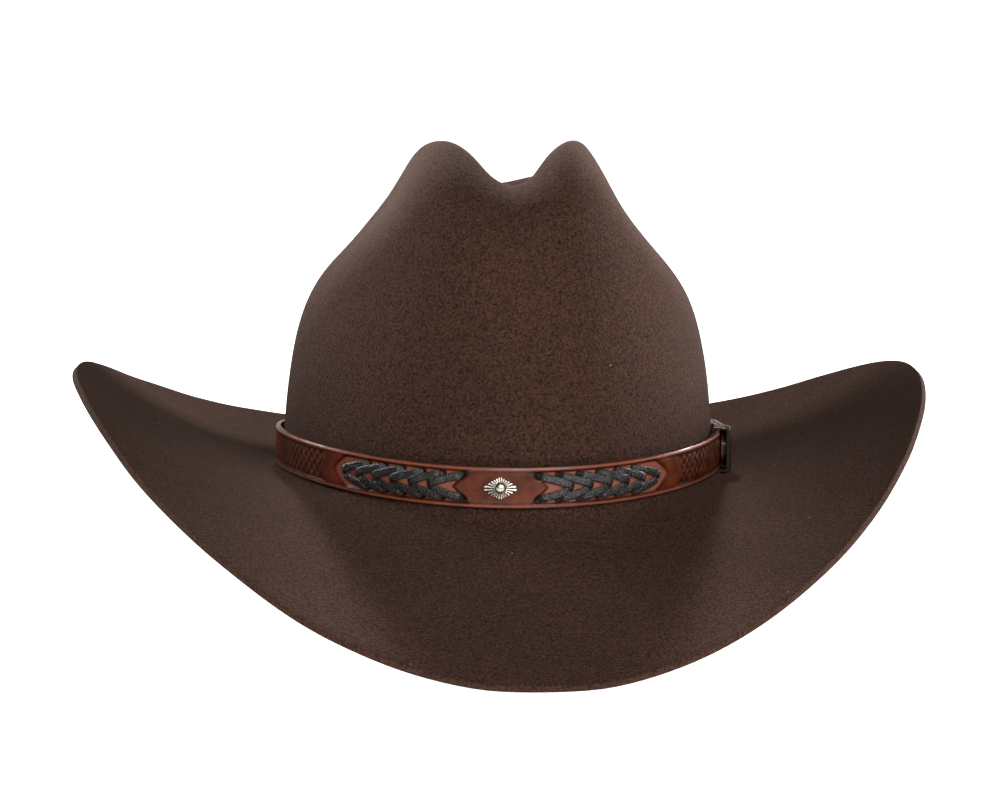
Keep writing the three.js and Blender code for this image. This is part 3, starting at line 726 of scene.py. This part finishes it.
for name, side in (("lace_left", 1), ("lace_right", -1)):
    strands = [strand(side, tip, way) for tip in LACE_TIPS for way in (-1, 1)]
    piece(
        merge(strands),
        name + "_strands",
        lace_leather,
        "hatband",
        [name],
        sharp=60,
        levels=1,
    )

# %% [markdown]
# ## Nickel silver
# The concho, rivet and buckle are cast nickel silver, tumbled bright and darkened with oxide that is
# polished off again everywhere but in the grooves. It is a warm grey metal, not a mirror: fine
# tumbling marks keep its reflections soft.

# %% Oxidised nickel silver
nickel, shader = start("nickel_silver_oxidised", Metallic=1.0)
place = node(nickel, "ShaderNodeTexCoord").outputs["Object"]
depth = node(nickel, "ShaderNodeAttribute", attribute_name="stain_and_painted_light").outputs["Fac"]
marks = node(nickel, "ShaderNodeTexNoise", {"Vector": place, "Scale": 1 / (0.5 * MM), "Detail": 3.0})
oxide = node(
    nickel, "ShaderNodeMapRange", {"Value": depth, "From Min": 0.05, "From Max": 0.8, "To Max": 0.95}
)
metal = node(
    nickel,
    "ShaderNodeMix",
    {0: oxide.outputs[0], 6: linear("#e6dfd0"), 7: linear("#4b4238")},
    data_type="RGBA",
)
drive(nickel, shader, "Base Color", metal.outputs[2])
blur = node(nickel, "ShaderNodeMapRange", {"Value": marks.outputs["Fac"], "To Min": 0.2, "To Max": 0.42})
drive(nickel, shader, "Roughness", blur.outputs[0])
tumbled = node(
    nickel, "ShaderNodeBump", {"Height": marks.outputs["Fac"], "Strength": 0.12, "Distance": 0.1 * MM}
)
drive(nickel, shader, "Normal", tumbled.outputs[0])

# %% [markdown]
# ## The concho
# A concho is a small cast ornament screwed through the strap. This one is a diamond with rays
# round a domed boss, and each ray ends in its own point, so the rim is serrated. It is a round sheet:
# u goes round it and v from the middle to the rim. Its rays are folds whose height falls to the rim.

# %% Cast the concho
RAYS = 24


def concho_shape(u, v):
    angle = 2 * pi * u
    diamond = 1 / (abs(cos(angle)) / 6.7 + abs(sin(angle)) / 4.2)
    full = 1 / hypot(cos(angle) / 6.7, sin(angle) / 4.2)
    fold = abs(sin(RAYS / 2 * angle))
    rim = mix(diamond, full, 0.22) * (0.87 + 0.13 * fold)
    boss = 1.75
    r = v / 0.45 * boss if v < 0.45 else mix(boss, rim, (v - 0.45) / 0.55)
    if r < boss:
        return r, angle, 1.05 + 0.6 * (1 - (r / boss) ** 2) ** 0.6, 0.3
    part = (r - boss) / (rim - boss + 0.01)
    ring = bell((r - boss) / 0.22)
    high = 0.95 - 0.35 * part + 0.34 * fold * (1 - 0.3 * part) - 0.35 * ring
    return r, angle, high, (1 - fold) * 0.85 + ring * 0.6


def concho_place(u, v, side):
    r, angle, high, _ = concho_shape(u, v)
    x, y, nx, ny, rise = place_on_band(0.0)
    out = OUTER + 0.12 + (high if side == 0 else 0)
    along = r * cos(angle)
    return stand(x + nx * out - ny * along, y + ny * out + nx * along, rise + MID + r * sin(angle))


bm = sheet(RAYS * 8, 22, concho_place, (1, 1), True, None, lambda u, v: concho_shape(u, v)[3])
piece(bm, "concho_sunburst", nickel, "hatband", ["concho"], sharp=30)


# %% The rivet that holds the fold, and the screw behind the concho
def turned(profile, along, up, out, steps=32):
    """A profile of (radius, height) pairs, spun round a line straight out of the band."""
    bm = bmesh.new()
    bm.verts.layers.float.new("stain_and_painted_light")
    spine = [bm.verts.new((r, 0, h)) for r, h in profile]
    edges = [bm.edges.new(pair) for pair in zip(spine, spine[1:])]
    bmesh.ops.spin(
        bm, geom=spine + edges, cent=(0, 0, 0), axis=(0, 0, 1), angle=2 * pi, steps=steps, use_merge=True
    )
    bmesh.ops.remove_doubles(bm, verts=bm.verts, dist=1e-4)
    x, y, nx, ny, rise = place_on_band(along)
    for v in bm.verts:
        a, b, c = v.co
        v.co = stand(x + nx * (out + c) - ny * a, y + ny * (out + c) + nx * a, rise + up + b)
    return bm


dome = [
    (0, 1.0), (0.7, 0.9), (1.2, 0.62), (1.5, 0.2), (1.5, 0), (1.0, 0), (1.0, -2.3), (1.4, -2.4), (0, -2.5)
]
piece(
    turned(dome, HEEL - 9, MID, OUTER - 0.1),
    "fold_rivet",
    nickel,
    "hatband",
    ["strap_rivet"],
)
screw = [
    (0, 0.05),
    (0.9, 0.0),
    (0.95, 0.15),
    (2.3, 0.1),
    (2.4, 0.3),
    (2.3, 0.6),
    (1.1, 0.6),
    (1.1, 3.0),
    (0, 3.0),
]
piece(
    turned(screw, 0.0, MID, 0.45), "concho_screw_head", nickel, "hatband", ["concho_screw"]
)

# %% [markdown]
# ## Keeper, buckle and tongue
# The keeper is a loop of the same leather with a black dyed edge, which holds the billet down; its
# inside is painted black as well, as painted shade. The buckle is a small frame of cast wire whose
# front end stands proud of the strap, and its tongue is a flat prong curled round the heel bar. A loop
# is a sheet that closes on itself, and a wire is a sheet whose v goes round its section, so both come
# from the same helper as the strap.

# %% Black dyed edge leather, which also paints the shade inside the keeper
black_edge_and_shade_leather, shader = start("cowhide_black_edges_and_painted_shade", Roughness=0.6, Specular_IOR_Level=0.3)
place = node(black_edge_and_shade_leather, "ShaderNodeTexCoord").outputs["Object"]
hide = node(black_edge_and_shade_leather, "ShaderNodeTexNoise", {"Vector": place, "Scale": 1 / (1.2 * MM), "Detail": 5.0})
# Black for the dyed cut edges, also used as painted shade on the keeper's inside.
dyed = node(
    black_edge_and_shade_leather,
    "ShaderNodeMix",
    {0: hide.outputs["Fac"], 6: linear("#0b0706"), 7: linear("#1c120e")},
    data_type="RGBA",
)
drive(black_edge_and_shade_leather, shader, "Base Color", dyed.outputs[2])
burnish = node(
    black_edge_and_shade_leather, "ShaderNodeBump", {"Height": hide.outputs["Fac"], "Strength": 0.3, "Distance": 0.15 * MM}
)
drive(black_edge_and_shade_leather, shader, "Normal", burnish.outputs[0])

# %% Bend the keeper
KEEPER_LONG, KEEPER_OUT = 9.0, 3.65


def loop_line(u, wide, tall, corner):
    """A point and the outward direction on a rounded rectangle, for u from 0 to 1."""
    a = 2 * pi * u
    c, s = cos(a), sin(a)
    power = 2 / corner
    x, y = wide * math.copysign(abs(c) ** power, c), tall * math.copysign(abs(s) ** power, s)
    nx, ny = math.copysign(abs(c) ** (2 - power), c) / wide, math.copysign(abs(s) ** (2 - power), s) / tall
    long = hypot(nx, ny) or 1
    return x, y, nx / long, ny / long


def keeper_place(u, v, side):
    across, up, nx, ny = loop_line(u, 3.12, 8.3, 9)
    round_edge = 0.22 * max(0.0, abs(v * 2 - 1) - 0.82) / 0.18
    bulge = 0.12 * (1 - (v * 2 - 1) ** 2)
    grow = (0.75 + bulge - round_edge) if side == 0 else (-0.5 - 0.45 * max(0.0, nx) + round_edge)
    groove_line = 0.16 * bell((abs(v * 2 - 1) - 0.7) / 0.07) if side == 0 else 0
    grow -= groove_line
    return band(KEEPER + (v - 0.5) * KEEPER_LONG, KEEPER_OUT + across + nx * grow, MID + up + ny * grow)


def keeper_stain_and_painted_light(u, v):
    # Dark paste in the crease lines near the keeper's edges, and painted highlight on its rounded edges.
    return 0.8 * bell((abs(v * 2 - 1) - 0.7) / 0.1) - 0.3 * max(0.0, abs(v * 2 - 1) - 0.8) / 0.2


bm = sheet(96, 20, keeper_place, (50 * MM, 9 * MM), True, None, keeper_stain_and_painted_light)
keeper = piece(bm, "keeper_loop", strap_leather, "keeper", ["keeper"], sharp=50)
keeper.data.materials.append(black_edge_and_shade_leather)
forward = (band(KEEPER + 1, KEEPER_OUT, MID) - band(KEEPER - 1, KEEPER_OUT, MID)).normalized()
for face in keeper.data.polygons:
    middle = sum((keeper.data.vertices[i].co for i in face.vertices), Vector()) / len(face.vertices)
    cuts = (band(KEEPER + way * KEEPER_LONG / 2, KEEPER_OUT, MID) for way in (-1, 1))
    near_cut = min(abs((middle - cut).dot(forward)) for cut in cuts) < 0.45 * MM
    # The cut ends are dyed black; the whole inside of the loop is painted black too, as painted shade.
    if near_cut or (middle - band(KEEPER, KEEPER_OUT, MID)).dot(face.normal) <= 0:
        face.material_index = 1


# %% Cast the buckle frame
REACH, BEADS = 8.4, 42
REST_OUT = OUTER + 0.3 + 1 + 0.2


def wire_out(s):
    return mix(EYE_OUT, REST_OUT, (s - HEEL) / (REST - HEEL))


def frame_place(u, v, _side):
    mid_s, half_s = (HEEL + REST) / 2, (REST - HEEL) / 2
    s, up, ns, nh = loop_line(u, half_s, REACH, 5)
    turn = 2 * pi * v
    heel = smooth((-s - half_s + 1.8) / 1.2)
    thick = mix(0.86, 0.95, heel) + 0.05 * sin(u * 2 * pi * BEADS) * (1 - heel)
    wide = mix(0.86, 0.98, smooth((s - half_s + 2) / 2))
    off = wide * cos(turn)
    flat = thick * sin(turn)
    return band(mid_s + s + ns * off, wire_out(mid_s + s) + flat, MID + up + nh * off)


bm = sheet(240, 16, frame_place, (46 * MM, 6 * MM))
layers = bm.verts.layers.float
for v in bm.verts:
    v[layers["stain_and_painted_light"]] = 0.35 * (0.5 - 0.5 * sin(v[layers["along"]] * 2 * pi * BEADS))
piece(bm, "buckle_wire", nickel, "buckle", ["buckle_frame"], sharp=50)


# %% Curl the tongue round the heel bar
TONGUE_LONG, CURL, CURL_RADIUS = 27.0, 10.0, 1.62


def tongue_place(u, v, side):
    far = u * TONGUE_LONG
    w = v * 2 - 1
    if far < CURL:
        turn = mix(-1.45 * pi, 0.0, far / CURL)
        s, out = HEEL + CURL_RADIUS * sin(turn), EYE_OUT + CURL_RADIUS * cos(turn)
        ds, do = sin(turn), cos(turn)
    else:
        part = (far - CURL) / (TONGUE_LONG - CURL)
        s = mix(HEEL, REST + 2.2, part)
        rise = REST_OUT + 1 + 0.3 + 0.5 - EYE_OUT - CURL_RADIUS
        out = EYE_OUT + CURL_RADIUS + rise * smooth(part * 1.05) + 0.25 * sin(pi * part)
        ds, do = 0.0, 1.0
    thin = mix(1, 0.65, smooth((far - 20) / 7))
    half = mix(1.2, 0.75, smooth((far - 12) / 15)) * mix(1, 0.5, max(0.0, (far - 26) / 1.0) ** 2)
    thick = 0.5 * thin * (1 - 0.35 * abs(w) ** 3)
    off = thick if side == 0 else -thick
    return band(s + ds * off, out + do * off, MID + w * half)


bm = sheet(90, 8, tongue_place, (TONGUE_LONG * MM, 2.4 * MM), True)
piece(bm, "buckle_prong", nickel, "tongue", ["buckle_tongue"], sharp=45)


# %% [markdown]
# ## Inside the crown
# Turn the hat over and there is a leather sweatband, sewn along the brim joint over a covered cord
# called the reed, closed at the rear by a tape and a little ribbon bow. Above it a satin lining is
# gathered up the wall to an oval tip. All of them follow the inner face of the crown, found by
# walking up the wall to a height and stepping inwards.


# %% A point inside the wall
@functools.cache
def inside(theta, height, depth):
    low, high = 0.0, 1.0
    for _ in range(22):
        middle = (low + high) / 2
        if wall(theta, middle)[2] - saddle(theta) < height:
            low = middle
        else:
            high = middle
    here, beside = Vector(wall(theta, low)), Vector(wall(theta + 1e-3, low))
    above = Vector(wall(theta, low + 1e-3))
    outward = (beside - here).cross(above - here).normalized()
    return here - outward * depth


# %% [markdown]
# ## Sweatband leather, ribbon and satin
# Sweatbands are thin roan sheepskin, matte, with fine creases. The tape, the reed's cover and the bow
# are grosgrain ribbon with ribs across it. The lining is satin: long floats of fine thread
# that give it a sheen along one direction. Ribs and threads follow each sheet's own UV map, which
# holds metres, so a spacing is a real one.

# %% Roan leather, grosgrain and satin
roan, shader = start("roan_leather_tan", Roughness=0.6, Specular_IOR_Level=0.35)
place = node(roan, "ShaderNodeTexCoord").outputs["Object"]
skin = node(
    roan, "ShaderNodeTexNoise", {"Vector": place, "Scale": 1 / (9 * MM), "Detail": 6.0, "Roughness": 0.65}
)
tan_tone = node(
    roan,
    "ShaderNodeMix",
    {0: skin.outputs["Fac"], 6: linear("#4f3423"), 7: linear("#7b5a41")},
    data_type="RGBA",
)
drive(roan, shader, "Base Color", tan_tone.outputs[2])
creases = node(
    roan, "ShaderNodeTexVoronoi", {"Vector": place, "Scale": 1 / (1.6 * MM)}, feature="DISTANCE_TO_EDGE"
)
crackle = node(
    roan, "ShaderNodeBump", {"Height": creases.outputs["Distance"], "Strength": 0.35, "Distance": 0.2 * MM}
)
drive(roan, shader, "Normal", crackle.outputs[0])

grosgrain, shader = start("rayon_grosgrain_black", Roughness=0.55, Sheen_Weight=0.2)
where = node(grosgrain, "ShaderNodeTexCoord").outputs["UV"]
ribs = node(
    grosgrain,
    "ShaderNodeTexWave",
    {"Vector": where, "Scale": 1 / (0.8 * MM) / (2 * pi), "Distortion": 0.4},
    bands_direction="X",
)
cord_tone = node(
    grosgrain,
    "ShaderNodeMix",
    {0: ribs.outputs["Fac"], 6: linear("#0f0c0b"), 7: linear("#2e2724")},
    data_type="RGBA",
)
drive(grosgrain, shader, "Base Color", cord_tone.outputs[2])
ribbed = node(
    grosgrain, "ShaderNodeBump", {"Height": ribs.outputs["Fac"], "Strength": 0.7, "Distance": 0.25 * MM}
)
drive(grosgrain, shader, "Normal", ribbed.outputs[0])

satin, shader = start("acetate_satin_bronze", Roughness=0.34, Anisotropic=0.5, Sheen_Weight=0.15)
where = node(satin, "ShaderNodeTexCoord").outputs["UV"]
stretch = node(satin, "ShaderNodeMapping", {"Vector": where, "Scale": (1 / (0.45 * MM), 1 / (6 * MM), 1)})
floats = node(satin, "ShaderNodeTexNoise", {"Vector": stretch.outputs[0], "Scale": 1.0, "Detail": 2.0})
silk = node(
    satin,
    "ShaderNodeMix",
    {0: floats.outputs["Fac"], 6: linear("#2a1c14"), 7: linear("#57402f")},
    data_type="RGBA",
)
drive(satin, shader, "Base Color", silk.outputs[2])
threads = node(
    satin, "ShaderNodeBump", {"Height": floats.outputs["Fac"], "Strength": 0.35, "Distance": 0.1 * MM}
)
drive(satin, shader, "Normal", threads.outputs[0])

# %% The sweatband, its reed and the stitches over it
SWEAT_NEAR, SWEAT_FAR, SWEAT_HIGH = 4.4, 5.6, 58.0
SLIT, STITCHES = 0.003, 150


def sweat_place(u, v, side):
    theta = round(pi / 2 + SLIT + (2 * pi - 2 * SLIT) * u, 6)
    wavy = 0.5 * sin(theta * 9 + 1) * smooth((v - 0.6) / 0.4)
    height = mix(0.9, SWEAT_HIGH + wavy, v)
    rolled = 0.25 * max(0.0, abs(v * 2 - 1) - 0.94) / 0.06
    return stand(*inside(theta, round(height, 4), SWEAT_NEAR + rolled if side else SWEAT_FAR - rolled))


bm = sheet(180, 24, sweat_place, (0.58, 0.058), True)
piece(bm, "sweatband_leather", roan, "hat", ["sweatband"], sharp=50)


def reed_place(u, v, _side):
    x, y, nx, ny = oval(2 * pi * u)
    turn = 2 * pi * v
    out, up = 0.8 * cos(turn) - 5.0, 0.8 * sin(turn) - 0.75
    return stand(x + nx * out, y + ny * out, saddle(2 * pi * u) + up)


piece(
    sheet(200, 10, reed_place, (0.57, 0.005)), "reed_cover", grosgrain, "hat", ["sweatband_reed"]
)

thread, shader = start("waxed_linen_thread", Roughness=0.6, Sheen_Weight=0.1)
place = node(thread, "ShaderNodeTexCoord").outputs["Object"]
twist = node(thread, "ShaderNodeTexNoise", {"Vector": place, "Scale": 1 / (0.5 * MM)})
waxed = node(
    thread,
    "ShaderNodeMix",
    {0: twist.outputs["Fac"], 6: linear("#8d7454"), 7: linear("#c9b18b")},
    data_type="RGBA",
)
drive(thread, shader, "Base Color", waxed.outputs[2])


def stitch(start_at, end_at, outward, thick=0.22):
    """A short thread that dips into the leather at both ends."""
    bm = bmesh.new()
    bmesh.ops.create_cone(bm, cap_ends=True, segments=5, radius1=thick * MM, radius2=thick * MM, depth=1)
    bmesh.ops.subdivide_edges(
        bm, edges=[e for e in bm.edges if abs(e.verts[0].co.z - e.verts[1].co.z) > 0.5], cuts=2
    )
    run = end_at - start_at
    turn = run.to_track_quat("Z", "Y").to_matrix()
    for v in bm.verts:
        t = v.co.z
        flat = Vector((v.co.x, v.co.y, 0)) * (1 - 1.2 * abs(t) ** 2)
        v.co = start_at + run * (t + 0.5) + turn @ flat - outward * (0.25 * MM * (2 * t) ** 2)
    return bm


def sweat_stitch(i, count, height):
    a, b = (pi / 2 + 2 * pi * (i + part) / count for part in (0.12, 0.88))
    p, q = (stand(*inside(t, height, SWEAT_FAR + 0.1)) for t in (a, b))
    return stitch(p, q, (p - stand(*inside(a, height, SWEAT_FAR - 1))).normalized())


seam = merge([sweat_stitch(i, STITCHES, 3.2) for i in range(STITCHES)])
piece(seam, "sweatband_stitches", thread, "hat", sharp=60)


# %% The seam tape and the bow at the rear
def tape_place(u, v, side):
    theta = round(pi / 2 + 0.06 * (u * 2 - 1), 6)
    return stand(*inside(theta, mix(1, 56, v), 3.8 if side else 4.1))


piece(
    sheet(10, 30, tape_place, (0.012, 0.055), True),
    "seam_tape",
    grosgrain,
    "hat",
    ["sweatband_seam_tape"],
)
BACK = inside(pi / 2, 9, SWEAT_FAR + 0.3)


def bow_place(u, v, side):
    """Two flattened loops whose ribbon is pinched at the knot in the middle."""
    turn = 2 * pi * u
    reach = 7.6 * sin(turn)
    pinch = mix(0.34, 1, smooth(abs(reach) / 4.5))
    puff = 0.62 * cos(turn) * smooth(abs(reach) / 3.5 + 0.15)
    off = 0.1 if side else -0.1
    return stand(reach, BACK.y - 1.15 + puff + off, BACK.z + (v * 2 - 1) * 3.4 * pinch)


def knot_place(u, v, side):
    turn = 2 * pi * u
    grow = 1.0 if side == 0 else 0.85
    return stand(
        (v * 2 - 1) * 1.25, BACK.y - 1.0 + 0.85 * grow * cos(turn), BACK.z + 1.75 * grow * sin(turn)
    )


bow = merge([sheet(48, 8, bow_place, (0.03, 0.007), True), sheet(24, 6, knot_place, (0.01, 0.0025), True)])
piece(bow, "sweatband_ribbon_bow", grosgrain, "hat", ["sweatband_bow"], sharp=60)

# %% [markdown]
# ## The satin lining
# The lining's side is one long strip, cut wider than the crown is round and gathered, so it stands
# in soft pleats that grow towards the tip. The tip is an oval of the same satin, sewn to it
# and pushed up by the crown. Both are thin sheets, and each is told the size it was cut to.


# %% Gather the side and set the tip
def lining_place(u, v, _side):
    theta = round(2 * pi * u, 6)
    pleat = 0.35 * v * (sin(theta * 46) + 0.5 * sin(theta * 17 + 1.3))
    return stand(*inside(theta, round(mix(14, 82, v), 4), round(3.25 + pleat * 0.6, 5)))


bm = sheet(320, 26, lining_place, (0.60, 0.07))
side_satin = piece(bm, "lining_side_satin", satin, "hat", ["lining_side"], sharp=180)


def tip_place(u, v, _side):
    theta = round(2 * pi * u, 6)
    edge = inside(theta, 88, 6)
    crimp = 0.25 * sin(theta * 40) * v**6
    return stand(edge.x * v, edge.y * v, 87.7 + saddle(theta) * v + 4 * (1 - v * v) + crimp)


bm = sheet(160, 24, tip_place, (0.1, 0.1))
for face in bm.faces:
    for loop in face.loops:
        loop[bm.loops.layers.uv["UVMap"]].uv = loop.vert.co.xy
tip_satin = piece(bm, "lining_tip_satin", satin, "hat", ["lining_tip"], sharp=180, up=(0, 0, -1))


def piping_place(u, v, _side):
    theta = round(2 * pi * u, 6)
    edge, turn = inside(theta, 86.5, 5.2), 2 * pi * v
    return stand(
        edge.x * (1 + 0.012 * cos(turn)), edge.y * (1 + 0.012 * cos(turn)), edge.z + 0.8 * sin(turn)
    )


piece(sheet(160, 8, piping_place, (0.5, 0.005)), "lining_piping", grosgrain, "hat")


# %% The backing strip behind the laces
def backing_place(u, v, side):
    return band(mix(-80, 80, u), 0.4 if side else 1.0, mix(LOW + 0.6, HIGH - 0.6, v))


piece(
    sheet(120, 8, backing_place, (0.16, 0.014), True),
    "backing_strip",
    roan,
    "hatband",
    ["hatband_backing"],
)

# %% [markdown]
# ## Floor, light and camera
# The hat stands on a glowing white floor, which fills the shade under it. Felt drinks light, so its
# form only reads where lamps graze it: a small lamp with a snoot picks out the ridges from behind,
# two soft lamps edge the sides from the back, and a wide one in front gives the felt its colour. The
# camera looks from a little above and from slightly to the wearer's right.

# %% A pale floor that fills the view
paper, shader = start(
    "acrylic_light_table_white", Roughness=0.9, Specular_IOR_Level=0.1, Emission_Strength=0.96
)
shader.inputs["Emission Color"].default_value = linear("#ffffff")
fine = node(
    paper,
    "ShaderNodeTexNoise",
    {"Vector": node(paper, "ShaderNodeTexCoord").outputs["Object"], "Scale": 400.0},
)
tone = node(
    paper,
    "ShaderNodeMix",
    {0: fine.outputs["Fac"], 6: linear("#f6f5f3"), 7: linear("#fbfaf8")},
    data_type="RGBA",
)
drive(paper, shader, "Base Color", tone.outputs[2])
bm = bmesh.new()
bmesh.ops.create_grid(bm, x_segments=4, y_segments=4, size=9)
mesh = bpy.data.meshes.new("floor")
bm.to_mesh(mesh)
bm.free()
mesh.materials.append(paper)
floor = bpy.data.objects.new("floor", mesh)
bpy.context.scene.collection.objects.link(floor)


# %% Lamps and the sky
def lamp(name, at, aim, width, height, watts, spread=180):
    data = bpy.data.lights.new(name, "AREA")
    data.shape, data.size, data.size_y, data.energy = "RECTANGLE", width, height, watts
    data.spread = radians(spread)
    made = bpy.data.objects.new(name, data)
    made.location = at
    made.rotation_euler = (Vector(aim) - Vector(at)).to_track_quat("-Z", "Y").to_euler()
    bpy.context.scene.collection.objects.link(made)


lamp("ridges, snooted", (0.0, 0.55, 0.66), (0, -0.02, 0.15), 0.16, 0.16, 0.2, 14)
lamp("left edge", (-1.2, 0.75, 0.5), (0, 0, 0.1), 0.4, 1.0, 25)
lamp("right edge", (1.3, 0.6, 0.25), (0, 0, 0.1), 0.4, 0.4, 33)
lamp("front above", (0.35, -1.5, 0.95), (0, 0, 0.1), 1.3, 0.8, 27)
sky = bpy.data.worlds.new("studio")
sky.use_nodes = True
sky.node_tree.nodes["Background"].inputs["Color"].default_value = linear("#ffffff")
sky.node_tree.nodes["Background"].inputs["Strength"].default_value = 0.04
bpy.context.scene.world = sky
bpy.context.scene.view_settings.view_transform = "Standard"

# %% The camera
azimuth, elevation, roll, distance = radians(-5.0), radians(12), radians(0.9), 1.05
target = Vector((0.0007, 0, 0.0588))
camera = bpy.data.objects.new("camera", bpy.data.cameras.new("camera"))
away = Vector((sin(azimuth) * cos(elevation), -cos(azimuth) * cos(elevation), sin(elevation)))
camera.location = target + away * distance
turn = (-away).to_track_quat("-Z", "Y").to_matrix()
camera.rotation_euler = (turn @ turn.Rotation(roll, 3, "Z")).to_euler()
camera.data.lens, camera.data.sensor_width = 92.2, 36
camera.data.clip_start, camera.data.clip_end = 0.05, 60
bpy.context.scene.collection.objects.link(camera)
bpy.context.scene.camera = camera
